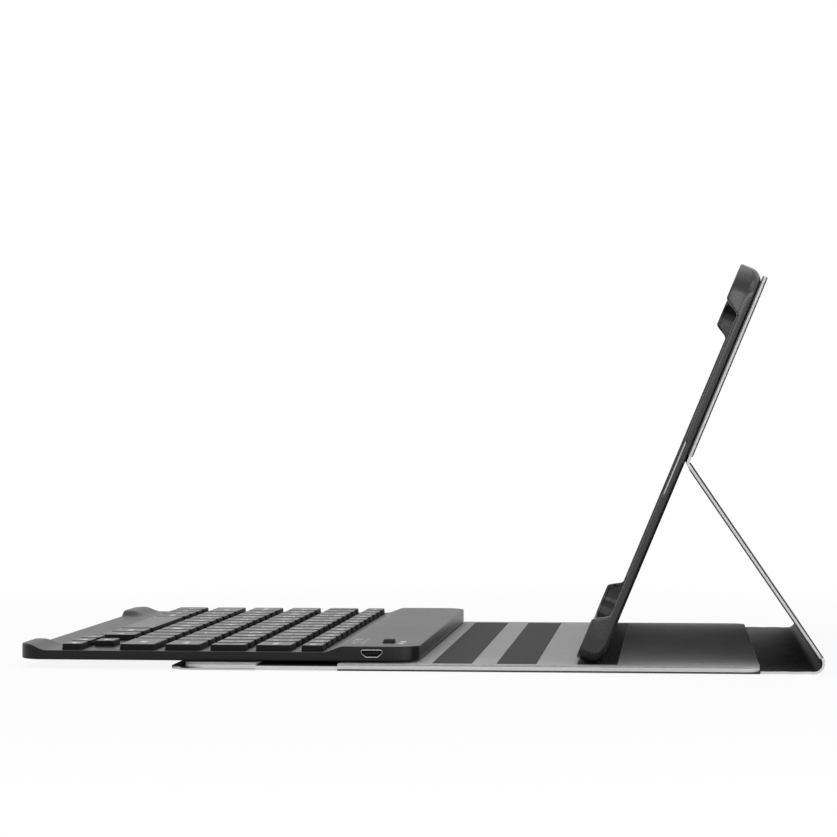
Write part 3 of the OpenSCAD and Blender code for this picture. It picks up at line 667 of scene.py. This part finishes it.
hole = dict(gap=0.35, keyRound=1.2, above=0.4, past=2.0)  # openings round the keys
slide = dict(gap=0.3, travel=4.0, floor=1.6, corner=0.9)  # slot of the switch knob
lampHole = dict(r=0.85, lens=0.8, drop=2.5, count=3)  # holes for the lamp windows
knobLow, knobHigh = boxOf("switch_knob")
lampLow, lampHigh = boxOf("led_windows")
lampXs = np.linspace(lampLow[0] + lampHole["lens"], lampHigh[0] - lampHole["lens"], lampHole["count"])
lampY = (lampLow[1] + lampHigh[1]) / 2
pastTop = coverHigh[2] + hole["past"]
holes = Surface()
g = hole["gap"]
for node in keyRows:
    for x0, y0, x1, y1 in capBoxes(node):
        opening = roundLoop(x0 - g, y0 - g, x1 + g, y1 + g, hole["keyRound"] + g)
        holes.prism(opening, coverLow[2] + hole["above"], pastTop)
portHole, (portFrom, portTo) = socketOutline(socket["gap"], socket["corner"]), socket["cut"]
holes.loops(*alongX((portHole, 0, portFrom), (portHole, 1, portFrom), (portHole, 1, portTo),
                    (portHole, 0, portTo)))
g = slide["gap"]
knobSlot = roundLoop(knobLow[0] - g, knobLow[1] - g, knobHigh[0] + slide["travel"] + g, knobHigh[1] + g,
                     slide["corner"])
holes.prism(knobSlot, coverHigh[2] - slide["floor"], pastTop)
for x in lampXs:
    holes.prism(circleLoop(x, lampY, lampHole["r"]), coverHigh[2] - lampHole["drop"], pastTop)
addPiece("topCover", coverSkin, "keyboard", "casing", finishes["casing"], ["top_cover"], cutters=holes,
         sharp=30)

bottom = dict(edge=0.7, topEdge=0.12, steps=(20, 20))
screwHead = dict(r=1.85, deep=0.6, arc=7, below=1.0,  # places from the middle and from the front edge
                 places=[(-86, 7.8), (0, 7.8), (86, 7.8), (-113.2, 158.2), (-89.5, 158.2), (52.3, 158.2)])
bottomPlan = boxPlan(underLow, underHigh, bottom["edge"], casing["corner"], bottom["steps"],
                     casing["corner"], casing["corner"])
bottomSkin = Surface().slab(bottomPlan, underLow[2] + roundOver(bottomPlan.depth, bottom["edge"]),
                            underHigh[2] - roundOver(bottomPlan.depth, bottom["topEdge"]))
screwHoles = Surface()
for x, y in screwHead["places"]:
    screwHoles.prism(circleLoop(x, y + frontY, screwHead["r"], screwHead["arc"]),
                     underLow[2] - screwHead["below"], underLow[2] + screwHead["deep"])
addPiece("bottomCover", bottomSkin, "keyboard", "casing", finishes["casing"], ["bottom_cover"],
         cutters=screwHoles)
print("keyboard casing")

# Keycaps and their legends
cap = dict(draft=0.18, edge=0.5, dish=0.22, rings=5, tighten=0.7, leastRound=0.3)
legend = dict(word=4.2, letter=7.4, sign=5.2, spread=3.3, arrow=2.4, ink=0.02, bold=0.015)


def capSurface(surface, x0, y0, x1, y1, low, high):
    # rings of a rounded rectangle: straight skirt with draft, quarter-round edge, then a shallow dish
    # whose depth is dish * (1 - s^2) at share s of the way from the middle to the edge
    edge, inset = cap["edge"], cap["draft"] + cap["edge"]
    rings = [(0, 0, low), (0, 1, low)]
    rings += [(cap["draft"] + edge * (1 - cos(a)), 1, high - edge * (1 - sin(a)))
              for a in np.linspace(0, pi / 2, 5)]
    rings += [(inset, s, high - cap["dish"] * (1 - s * s)) for s in np.linspace(1, 0, cap["rings"] + 1)[1:]]
    middle = np.array([(x0 + x1) / 2, (y0 + y1) / 2])
    rows = []
    for d, s, z in rings:
        corner = max(hole["keyRound"] - d * cap["tighten"], cap["leastRound"])
        loop = roundLoop(x0 + d, y0 + d, x1 - d, y1 - d, corner)
        rows.append(np.column_stack([middle + (loop - middle) * s, np.full(len(loop), z)]))
    surface.loops(*rows)


def wordMesh(word, size):  # flat type as points and faces, in millimetres
    turned = word == "M"  # a thickened M breaks up, so it is a W set upside down
    curve = bpy.data.curves.new("type", "FONT")
    curve.body, curve.size, curve.align_x, curve.align_y = "W" if turned else word, size, "CENTER", "CENTER"
    curve.resolution_u, curve.extrude = 4, legend["ink"]
    curve.offset = 0 if "4" in word else legend["bold"] * size  # a thickened 4 breaks up too
    holder = addObject("type", curve)
    mesh = evaluatedMesh(holder)
    points = np.empty(len(mesh.vertices) * 3)
    mesh.vertices.foreach_get("co", points)
    faces = [tuple(p.vertices) for p in mesh.polygons]
    bpy.data.objects.remove(holder)
    bpy.data.curves.remove(curve)
    bpy.data.meshes.remove(mesh)
    return points.reshape(-1, 3) * ((-1, -1, 1) if turned else 1), faces


def arrowMesh(turn, size):  # a small solid triangle, turned in quarter turns
    a = np.array([pi / 2, pi * 7 / 6, pi * 11 / 6]) + turn * pi / 2
    flat = np.column_stack([np.cos(a), np.sin(a)]) * size
    points = np.concatenate([np.column_stack([flat, np.full(3, z)]) for z in (-legend["ink"], legend["ink"])])
    return points, [(2, 1, 0), (3, 4, 5), (0, 1, 4, 3), (1, 2, 5, 4), (2, 0, 3, 5)]


arrowTurns = {"^": 0, "<": 1, "v": 2, ">": 3}
shifted = dict(zip("`1234567890-=[]\\;',./", "~!@#$%^&*()_+{}|:\"<>?"))


def legendParts(node, word, x0, y0, x1, y1):  # what is printed on a cap: meshes with their places on it
    middle, centre = (x0 + x1) / 2, (y0 + y1) / 2
    if node.endswith("arrow_key"):
        return [(arrowMesh(arrowTurns[word], legend["arrow"]), middle, centre)]
    if word in shifted:
        return [(wordMesh(shifted[word], legend["sign"]), middle, centre + legend["spread"]),
                (wordMesh(word, legend["sign"]), middle, centre - legend["spread"])]
    size = legend["letter"] if len(word) == 1 else legend["word"]
    return [(wordMesh(word, size), middle, centre)]


def onDish(part, x0, y0, x1, y1, high):
    # type laid on the cap's dish: each point takes the dish's depth at its own place
    (points, faces), x, y = part
    points = points + np.array([x, y, 0])
    inset = cap["draft"] + cap["edge"]
    share = np.maximum(np.abs(points[:, 0] - (x0 + x1) / 2) / ((x1 - x0) / 2 - inset),
                       np.abs(points[:, 1] - (y0 + y1) / 2) / ((y1 - y0) / 2 - inset))
    points[:, 2] += high - cap["dish"] * (1 - np.minimum(share, 1) ** 2)
    return points, faces


def inkPiece(name, prints, body):  # one piece of printed type from (points, faces) pairs
    points, faces, count = [], [], 0
    for spots, polygons in prints:
        points.append(spots)
        faces += [tuple(v + count for v in polygon) for polygon in polygons]
        count += len(spots)
    mesh = bpy.data.meshes.new(name)
    mesh.from_pydata((np.concatenate(points) * mm).tolist(), [], faces)
    piece = addObject(name, cleanMesh(mesh, 1e-7))
    mesh.materials.append(finishes["ink"])
    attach(piece, body)


for node, words in keyRows.items():
    low, high = boxOf(node)
    caps, prints = Surface(), []
    for (word, width), edges in zip(words, capBoxes(node)):
        capSurface(caps, *edges, low[2], high[2])
        if word:
            prints += [onDish(part, *edges, high[2]) for part in legendParts(node, word, *edges)]
    addPiece(node + ".cap", caps, node, "keycap", finishes["keycap"], [node])
    if prints:
        inkPiece(node + ".legend", prints, node)
print("keycaps:", sum(len(words) for words in keyRows.values()))

# Charging socket: a keyed tube with a rolled mouth, a back wall, a dark liner that paints the shade inside
# the bore, and a contact tongue
tongue = dict(half=2.6, low=-0.1, high=0.5, corner=0.12, lip=0.6)
outer, bore = socketOutline(0, socket["corner"]), socketOutline(-socket["wall"], socket["boreCorner"])
back, mouth = socketLow[0], socketHigh[0]
rear = mouth - socket["deep"]
tube = Surface().loops(*alongX(
    (outer, 0, back), (outer, 1, back), (outer, 1, mouth - socket["rollOut"]),
    (outer, 1 - socket["rollShare"], mouth), (bore, 1 + socket["rollShare"], mouth),
    (bore, 1, mouth - socket["rollIn"]), (bore, 1, rear), (bore, 0, rear)))
addPiece("chargingSocket", tube, "keyboard", "port", finishes["port"], ["usb_socket"])
# the liner's dark sleeve and floor over the bore's metal are painted shade for the socket's hollow; only the
# tongue is the socket's own dark plastic
sleeve = socketOutline(-socket["wall"] - socket["linerFit"], socket["boreCorner"])
throat = socketOutline(-socket["wall"] - socket["shadeLiner"], socket["linerCorner"])
linerBack, linerMouth = rear + socket["linerFit"], mouth - socket["linerLip"]
linerFloor, tongueEnd = rear + socket["linerFloor"], mouth - tongue["lip"]
blade = roundLoop(-tongue["half"], tongue["low"], tongue["half"], tongue["high"], tongue["corner"])
shadeLiner = Surface().loops(*alongX((sleeve, 0, linerBack), (sleeve, 1, linerBack), (sleeve, 1, linerMouth),
                                (throat, 1, linerMouth), (throat, 1, linerFloor), (throat, 0, linerFloor)))
shadeLiner.loops(*alongX((blade, 0, linerFloor), (blade, 1, linerFloor), (blade, 1, tongueEnd),
                    (blade, 0, tongueEnd)))
addPiece("socketShadeLiner", shadeLiner, "keyboard", "knob", finishes["knob"])

# Switch knob: a block with cross ribs on top
knob = dict(edge=0.45, corner=0.6, cornerLines=0.7, rib=0.55, ribs=4, steps=(0.12, 0.5))
knobPlan = boxPlan(knobLow, knobHigh, knob["edge"], knob["cornerLines"], knob["steps"], knob["corner"],
                   knob["corner"])
ribs = (1 - np.cos(2 * pi * knob["ribs"] * (knobPlan.x - knobLow[0]) / (knobHigh[0] - knobLow[0]))) / 2
knobTop = knobHigh[2] - knob["rib"] * (1 - ribs) - roundOver(knobPlan.depth, knob["edge"])
addPiece("switchKnob", Surface().slab(knobPlan, knobLow[2], knobTop), "switch_knob", "knob", finishes["knob"],
         ["switch_knob"], sharp=50)

# Printed marks beside the switch, on the deck
marks = dict(word=3.4, sign=5.0, lift=0.012, behind=3.0, aside=3.8, onShift=-0.2, offShift=-0.4)
wordY, signY = knobHigh[1] + marks["behind"], lampY - marks["aside"]
places = [("ON", knobHigh[0] + slide["travel"] + marks["onShift"], wordY, marks["word"]),
          ("OFF", knobLow[0] + marks["offShift"], wordY, marks["word"])]
places += [(sign, x, signY, marks["sign"]) for x, sign in zip(lampXs, "A1+")]
deckMarks = []
for word, x, y, size in places:
    points, faces = wordMesh(word, size)
    deckMarks.append((points + np.array([x, y, coverHigh[2] + marks["lift"]]), faces))
inkPiece("deckMarks", deckMarks, "keyboard")
print("socket, switch and deck marks")


# Folio panels lying on the table

panel = dict(edge=0.22, boardEdge=0.1, corner=6.0, steps=(16, 12))


def panelPiece(name, node, body, slot, finish, edge, rFront=0.0, rRear=0.0, place=None, box=None,
               cutters=None):
    # a flat layer with rounded edges and corners, in the frame box of its node or in a given one
    low, high = box or boxOf(node)
    edge = min(edge, (high[2] - low[2]) * 0.49)  # just under half its thickness
    plan = boxPlan(low, high, edge, max(rFront, rRear, edge), panel["steps"], rFront, rRear)
    drop = roundOver(plan.depth, edge)
    surface = Surface().slab(plan, low[2] + drop, high[2] - drop)
    return addPiece(name, surface, body, slot, finish, [node], place, cutters)


# Ribbed strips set into the lining for the shell's foot to stand on; their near-black tone also paints the
# shadow band that falls behind the foot
strip = dict(width=16.0, fronts=(226.6, 194.3, 168.5), edge=0.25, corner=0.8, gap=0.05, cut=(1.5, 4),
             rib=0.08, ribPitch=0.8, steps=(30, 0.1))  # fronts from the keyboard's front edge
stripLow, stripHigh = boxOf("grip_strips")
strips, stripHoles = Surface(), Surface()
g = strip["gap"]
for y in np.array(strip["fronts"]) + frontY:
    low, high = (stripLow[0], y), (stripHigh[0], y + strip["width"])
    plan = boxPlan(low, high, strip["edge"], strip["corner"], strip["steps"], strip["corner"],
                   strip["corner"])
    wave = (1 - np.cos(2 * pi * (plan.y - y) / strip["ribPitch"])) / 2
    strips.slab(plan, stripLow[2], stripHigh[2] - strip["rib"] * wave - roundOver(plan.depth, strip["edge"]))
    bed = roundLoop(low[0] - g, low[1] - g, high[0] + g, high[1] + g, strip["corner"])
    stripHoles.prism(bed, *strip["cut"])
panelPiece("baseSkin", "base_skin", "base", "outer_leather", finishes["leather"], panel["edge"])
panelPiece("baseBoard", "base_board", "base", "board", finishes["board"], panel["boardEdge"], 0,
           panel["corner"])
panelPiece("baseLining", "base_lining", "base", "lining", finishes["lining"], panel["edge"], 0,
           panel["corner"], cutters=stripHoles)
addPiece("gripAndShadeStrips", strips, "base", "grip", finishes["grip"], ["grip_strips"], sharp=60)

# Closure flap: skin with a soft lip that thickens before the board's front edge, board and lining
flap = dict(lipThick=1.2, skin=0.7, lipBack=1.2, lipLines=8, ease=0.9, edge=0.35, underEdge=0.2,
            corner=10.0, steps=(16, 3))
lipLow, lipHigh = boxOf("flap_skin")
flapFront = boxOf("flap_board")[0][1]
lipPlan = boxPlan(lipLow, lipHigh, flap["edge"], flap["corner"], flap["steps"], flap["corner"], 0,
                  [(flapFront - flap["lipBack"], flapFront, flap["lipLines"])])
thinned = easeStep((lipPlan.y - flapFront + flap["lipBack"]) / flap["ease"])
lipTop = flap["skin"] + (flap["lipThick"] - flap["skin"]) * (1 - thinned)
underDrop = roundOver(lipPlan.depth, flap["underEdge"])
topDrop = np.where(lipPlan.y < flapFront, roundOver(lipPlan.depth, flap["edge"]), underDrop)
addPiece("flapSkin", Surface().slab(lipPlan, underDrop, lipTop - topDrop), "flap", "outer_leather",
         finishes["lipLeather"], ["flap_skin"])
panelPiece("flapBoard", "flap_board", "flap", "board", finishes["board"], panel["boardEdge"], flap["corner"])
panelPiece("flapLining", "flap_lining", "flap", "lining", finishes["lining"], panel["edge"], flap["corner"])
print("front cover and flap")

# Stand: shell frame, strut frame and the soft bends, from the hinge places
stand = dict(tilt=67.3, thick=2.0, face=0.5, faceEdge=0.2, creaseHalf=3.0, creaseUp=88.8, curl=4.4,
             backMargin=1.0)
curlAt, creaseAt = jointAt("stand_strut"), jointAt("back_crease")
turn = leaning(stand["tilt"], (0, 0, 0))[0]
shellPlace = (turn, creaseAt - turn @ np.array([0, stand["creaseUp"], -stand["thick"] / 2]))
across, rise = curlAt[1] - creaseAt[1], creaseAt[2] - curlAt[2]
reach, offset = hypot(across, rise), stand["curl"] - stand["thick"] / 2
strutAngle = degrees(atan2(rise, across) - asin(offset / reach))
strutLength = sqrt(reach ** 2 - offset ** 2)
strutPlace = leaning(-strutAngle, creaseAt)

soft = dict(thick=1.2, foldThick=1.9, edge=0.12, lines=129, wrinkle=0.05, leastSheet=10,
            spineBack=2.0, spineFrom=1.0, spineTo=6.6, foldBend=4.0, creaseBend=2.4, creaseEase=0.6,
            creaseLift=0.175)
# the waves: short, long and both along values in radians per millimetre
ripple = dict(short=0.21, sway=2, swayAlong=0.35, long=0.083, along=0.5, share=0.6)


def softBend(name, node, path, outward, halfWidth, thick, finish, wrinkle=0.0):
    # a sheet of even thickness along a path in Y and Z, drawn out along X; slow waves along both
    # directions make it lie a little unevenly
    s = np.concatenate([[0], np.cumsum(np.linalg.norm(np.diff(path, axis=0), axis=1))])
    x, run = np.meshgrid(np.linspace(-halfWidth, halfWidth, soft["lines"]), s, indexing="ij")
    shortWave = np.sin(x * ripple["short"] + ripple["sway"] * np.sin(run * ripple["swayAlong"]))
    longWave = np.sin(x * ripple["long"] - run * ripple["along"] + 1)
    lift = wrinkle * np.sin(pi * run / s[-1]) * (shortWave + ripple["share"] * longWave)
    nearEdge = roundOver(halfWidth - np.abs(x), soft["edge"])
    faces = []
    for side in (1, -1):
        off = side * (thick / 2 - nearEdge) + lift
        faces.append(np.stack([x, path[:, 0] + outward[:, 0] * off, path[:, 1] + outward[:, 1] * off], -1))
    surface = Surface().grid(faces[0]).loops(border(faces[0]), border(faces[1])).grid(faces[1])
    piece = addPiece(name, surface, None, "outer_leather", finish, [node], sharp=50)
    return piece


def normalsOf(path):  # left-hand normals of a path in a plane
    along = np.gradient(path, axis=0)
    along /= np.linalg.norm(along, axis=1)[:, None]
    return np.column_stack([-along[:, 1], along[:, 0]])


# Spine: flat on the table, then round the curl up to the strut
baseEnd = boxOf("base_skin")[1][1]
softMid = soft["thick"] / 2
curlRadius = stand["curl"] - softMid
flatYs = np.linspace(baseEnd, curlAt[1], 21, endpoint=False)
flat = np.column_stack([flatYs, np.full(len(flatYs), softMid)])
bend = np.linspace(-pi / 2, pi / 2 - radians(strutAngle), 26)
curl = np.column_stack([curlAt[1] + curlRadius * np.cos(bend), curlAt[2] + curlRadius * np.sin(bend)])
spinePath = np.concatenate([flat, curl])
spine = softBend("spineSheet", "spine", spinePath, normalsOf(spinePath), folioHalf,
                 soft["thick"], finishes["wideLeather"], soft["wrinkle"])
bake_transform(spine)

# Fold between the cover panel and the flap
foldEnd, foldStart = boxOf("flap_fold")[0][1], boxOf("flap_fold")[1][1]
foldYs = np.linspace(foldStart, foldEnd, 40)
foldPath = np.column_stack([foldYs, np.full(len(foldYs), soft["foldThick"] / 2)])
fold = softBend("foldSheet", "flap_fold", foldPath, -normalsOf(foldPath), folioHalf,
                soft["foldThick"], finishes["wideLeather"])
foldMid = jointAt("flap_fold_up")[1]
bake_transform(fold)

# Crease: an arm up the shell's back and an arm down the strut; a bell curve rounds the corner between
upArm = np.array([cos(radians(stand["tilt"])), sin(radians(stand["tilt"]))])
downArm = np.array([cos(radians(strutAngle)), -sin(radians(strutAngle))])
outwards = (upArm + downArm) / np.linalg.norm(upArm + downArm)
t = np.linspace(-1, 1, 33)[:, None]
arms = np.where(t < 0, -t * downArm, t * upArm) * stand["creaseHalf"]
eased = np.exp(-(t * stand["creaseHalf"] / soft["creaseEase"]) ** 2) * soft["creaseEase"] * soft["creaseLift"]
creasePath = creaseAt[1:] + arms + eased * outwards
crease = softBend("creaseSheet", "crease_strip", creasePath, normalsOf(creasePath), standHalf,
                  soft["thick"], finishes["edgedLeather"])
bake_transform(crease)


def standBox(y0, y1, z0, z1):  # a layer's box across the stand, in its leaning frame
    return np.array([-standHalf, y0, z0]), np.array([standHalf, y1, z1])


halfThick, face = stand["thick"] / 2, stand["face"]
for name, node, slotName, finish, z0, z1 in (
        ("strutLining", "strut_lining", "lining", "darkLining", -halfThick, face - halfThick),
        ("strutBoard", "strut_board", "board", "board", face - halfThick, halfThick - face),
        ("strutSkin", "strut_skin", "outer_leather", "leather", halfThick - face, halfThick)):
    panelPiece(name, node, "strut", slotName, finishes[finish], stand["faceEdge"], place=strutPlace,
               box=standBox(stand["creaseHalf"], strutLength, z0, z1))
print("spine, strut and crease")

# Clip-in shell
shell = dict(width=258.4, height=170.4, thick=10.0, rim=2.0, plate=2.2, lip=1.2, lipOver=1.0, corner=12.0,
             backRound=5.0, sideRound=4.0, topEdge=0.8, innerEdge=0.5, lowWall=3.6, tallLow=16.5,
             tallHigh=155.4, tallWave=5.5, portWall=2.7, portFrom=68.7, portTo=101.7, portWave=6.0,
             troughWall=3.4, troughHalf=100.0, troughWave=9.0, lipFrom=2.0, lipEase=1.6, lipSlope=0.1,
             lipRoot=0.25, onWall=0.5, plateSteps=(14, 12))
closeRuns = dict(x=[(-102, -88, 22), (88, 102, 22)],  # from, to, points: where the wall's height changes
                 y=[(15.5, 23, 20), (149, 156.2, 20), (67, 77, 18), (93, 103, 18)])
innerHalf = shell["width"] / 2 - shell["rim"]
innerLow, innerHigh = shell["rim"], shell["height"] - shell["rim"]
innerCorner = shell["corner"] - shell["rim"]


def rimLoop():
    # once round the cavity: straight runs with closer points where the wall changes height, and corner arcs
    r = innerCorner
    a = np.linspace(0, pi / 2, 17)[1:-1]
    low, high = innerLow + r, innerHigh - r
    xs = [np.linspace(-innerHalf + r, innerHalf - r, 40)] + [np.linspace(*run) for run in closeRuns["x"]]
    ys = [np.linspace(low, high, 30)] + [np.linspace(*run) for run in closeRuns["y"]]
    xs, ys = np.unique(np.concatenate(xs)), np.unique(np.concatenate(ys))
    ys = ys[(ys >= low) & (ys <= high)]
    runs = [(xs, np.full(len(xs), innerLow), (0, -1), (innerHalf - r, low), -pi / 2),
            (np.full(len(ys), innerHalf), ys, (1, 0), (innerHalf - r, high), 0),
            (xs[::-1], np.full(len(xs), innerHigh), (0, 1), (-innerHalf + r, high), pi / 2),
            (np.full(len(ys), -innerHalf), ys[::-1], (-1, 0), (-innerHalf + r, low), pi)]
    points, outs = [], []
    for x, y, out, centre, start in runs:
        arc = np.column_stack([np.cos(a + start), np.sin(a + start)])
        points += [np.column_stack([x, y]), np.array(centre) + r * arc]
        outs += [np.tile(out, (len(x), 1)), arc]
    return np.concatenate(points), np.concatenate(outs)


def wallHeight(at):
    # full height at the corners; half-wave steps down to the low sides, the port dip and the top trough
    x, y = at[:, 0], at[:, 1]

    def lowered(wall, v, low, high, wave, where):
        dip = halfWave((v - low) / wave) * halfWave((high - v) / wave)
        return shell["thick"] - (shell["thick"] - wall) * dip * where

    onSide, onTop = np.abs(x) > innerHalf - shell["onWall"], y > innerHigh - shell["onWall"]
    side = lowered(shell["lowWall"], y, shell["tallLow"], shell["tallHigh"], shell["tallWave"], onSide)
    port = lowered(shell["portWall"], y, shell["portFrom"], shell["portTo"], shell["portWave"],
                   onSide & (x > 0))
    trough = lowered(shell["troughWall"], x, -shell["troughHalf"], shell["troughHalf"], shell["troughWave"],
                     onTop)
    return np.minimum(np.minimum(side, port), trough)


def backRadius(sideShare):  # radius of the rounded back edge: smaller along the two sides
    return shell["backRound"] - (shell["backRound"] - shell["sideRound"]) * sideShare


def rimSections(h, r):
    # section at each place: rounded back edge of radius r, outer face, rounded top, lip where it is tall
    h, r = h[:, None], r[:, None]
    e, e2 = shell["topEdge"], shell["innerEdge"]
    start = -np.arccos((r - shell["rim"]) / r)
    end = np.arcsin((np.minimum(r, h - e) - r) / r)
    a = start + (end - start) * np.linspace(0, 1, 10)
    backN, backZ = shell["rim"] - r + r * np.cos(a), r + r * np.sin(a)
    faceN = backN[:, -1:]
    faceZ = backZ[:, -1:] + (h - e - backZ[:, -1:]) * np.array([0.5, 1])
    b = np.linspace(0, pi / 2, 7)[1:]
    topN, topZ = faceN - e + e * np.cos(b), h - e + e * np.sin(b)
    over = -shell["lipOver"] * easeStep((h - shell["thick"] + shell["lipFrom"]) / shell["lipEase"])
    c = np.linspace(0, pi / 2, 5)
    inN, inZ = over + e2 - e2 * np.sin(c), h - e2 + e2 * np.cos(c)
    under = h - shell["lip"]
    root = under - shell["lipRoot"]
    lowN = np.concatenate([over, over * 0.5, over * 0, over * 0], 1)
    lowZ = np.concatenate([under, under - shell["lipSlope"], root, (root + shell["plate"]) / 2], 1)
    n = np.concatenate([backN, np.repeat(faceN, 2, 1), topN, inN, lowN], 1)
    z = np.concatenate([backZ, faceZ, topZ, inZ, lowZ], 1)
    return n, z


rimAt, rimOut = rimLoop()
n, z = rimSections(wallHeight(rimAt), backRadius(rimOut[:, 0] ** 2))
rimGrid = np.stack([rimAt[:, :1] + rimOut[:, :1] * n, rimAt[:, 1:] + rimOut[:, 1:] * n, z], -1)
addPiece("shellRim", Surface().grid(rimGrid, wrapU=True, wrapV=True), "shell", "shell", finishes["shell"],
         ["shell_rim"], shellPlace, sharp=45)

# Back plate, with the camera window and pockets for the steels
window = dict(x=-103.2, y=144.4, halfW=15.0, halfH=7.0, r=3.0, arc=8, plateCut=(-3, 5), backCut=(-6, 5))
steelBar = dict(xs=(-80, 0, 80), half=25.0, low=5.0, high=11.0, deep=0.8, gap=0.03, corner=0.2)
windowLoop = roundLoop(window["x"] - window["halfW"], window["y"] - window["halfH"],
                       window["x"] + window["halfW"], window["y"] + window["halfH"], window["r"],
                       window["arc"])
backEdge = shell["backRound"] - shell["rim"]
platePlan = boxPlan((-innerHalf, innerLow), (innerHalf, innerHigh), backEdge, innerCorner,
                    shell["plateSteps"], innerCorner, innerCorner)
plateRound = backRadius(platePlan.sideShare)
inward = np.maximum(plateRound - shell["rim"] - platePlan.depth, 0)
plateBack = plateRound - np.sqrt(plateRound ** 2 - inward ** 2)
plateCuts = Surface().prism(windowLoop, *window["plateCut"])
g = steelBar["gap"]
for x in steelBar["xs"]:
    pocket = roundLoop(x - steelBar["half"] - g, steelBar["low"] - g, x + steelBar["half"] + g,
                       steelBar["high"] + g, steelBar["corner"])
    plateCuts.prism(pocket, shell["plate"] - steelBar["deep"], window["plateCut"][1])
addPiece("shellPlate", Surface().slab(platePlan, plateBack, shell["plate"]), "shell", "shell",
         finishes["shell"], ["shell_plate"], shellPlace, plateCuts)

backLow, backHigh = stand["creaseUp"] + stand["creaseHalf"], shell["height"] - stand["backMargin"]
for name, node, slotName, finish, z0, z1 in (
        ("backBond", "back_bond", "bond", "bond", -face, 0),
        ("backBoard", "back_board", "board", "board", face - stand["thick"], -face),
        ("backSkin", "back_skin", "outer_leather", "leather", -stand["thick"], face - stand["thick"])):
    panelPiece(name, node, "shell", slotName, finishes[finish], stand["faceEdge"], 0, shell["corner"],
               shellPlace, standBox(backLow, backHigh, z0, z1),
               Surface().prism(windowLoop, *window["backCut"]))
print("shell and back panel")

# Pieces that keep their frame shapes get their finish
kept = dict(base_magnets="magnet", flap_magnets="magnet", keyboard_magnets="magnet", foot_steels="darkSteel",
            key_plate="steel", membrane="membrane", key_domes="dome", ribbon_tail="ribbon",
            circuit_board="circuit", battery="cell", battery_leads="lead", switch_body="knob",
            led_windows="lamp", rubber_feet="foot", case_screws="screw")
for node, finish in kept.items():
    nodes[node].data.materials.clear()
    nodes[node].data.materials.append(finishes[finish])
print("kept pieces:", len(kept))
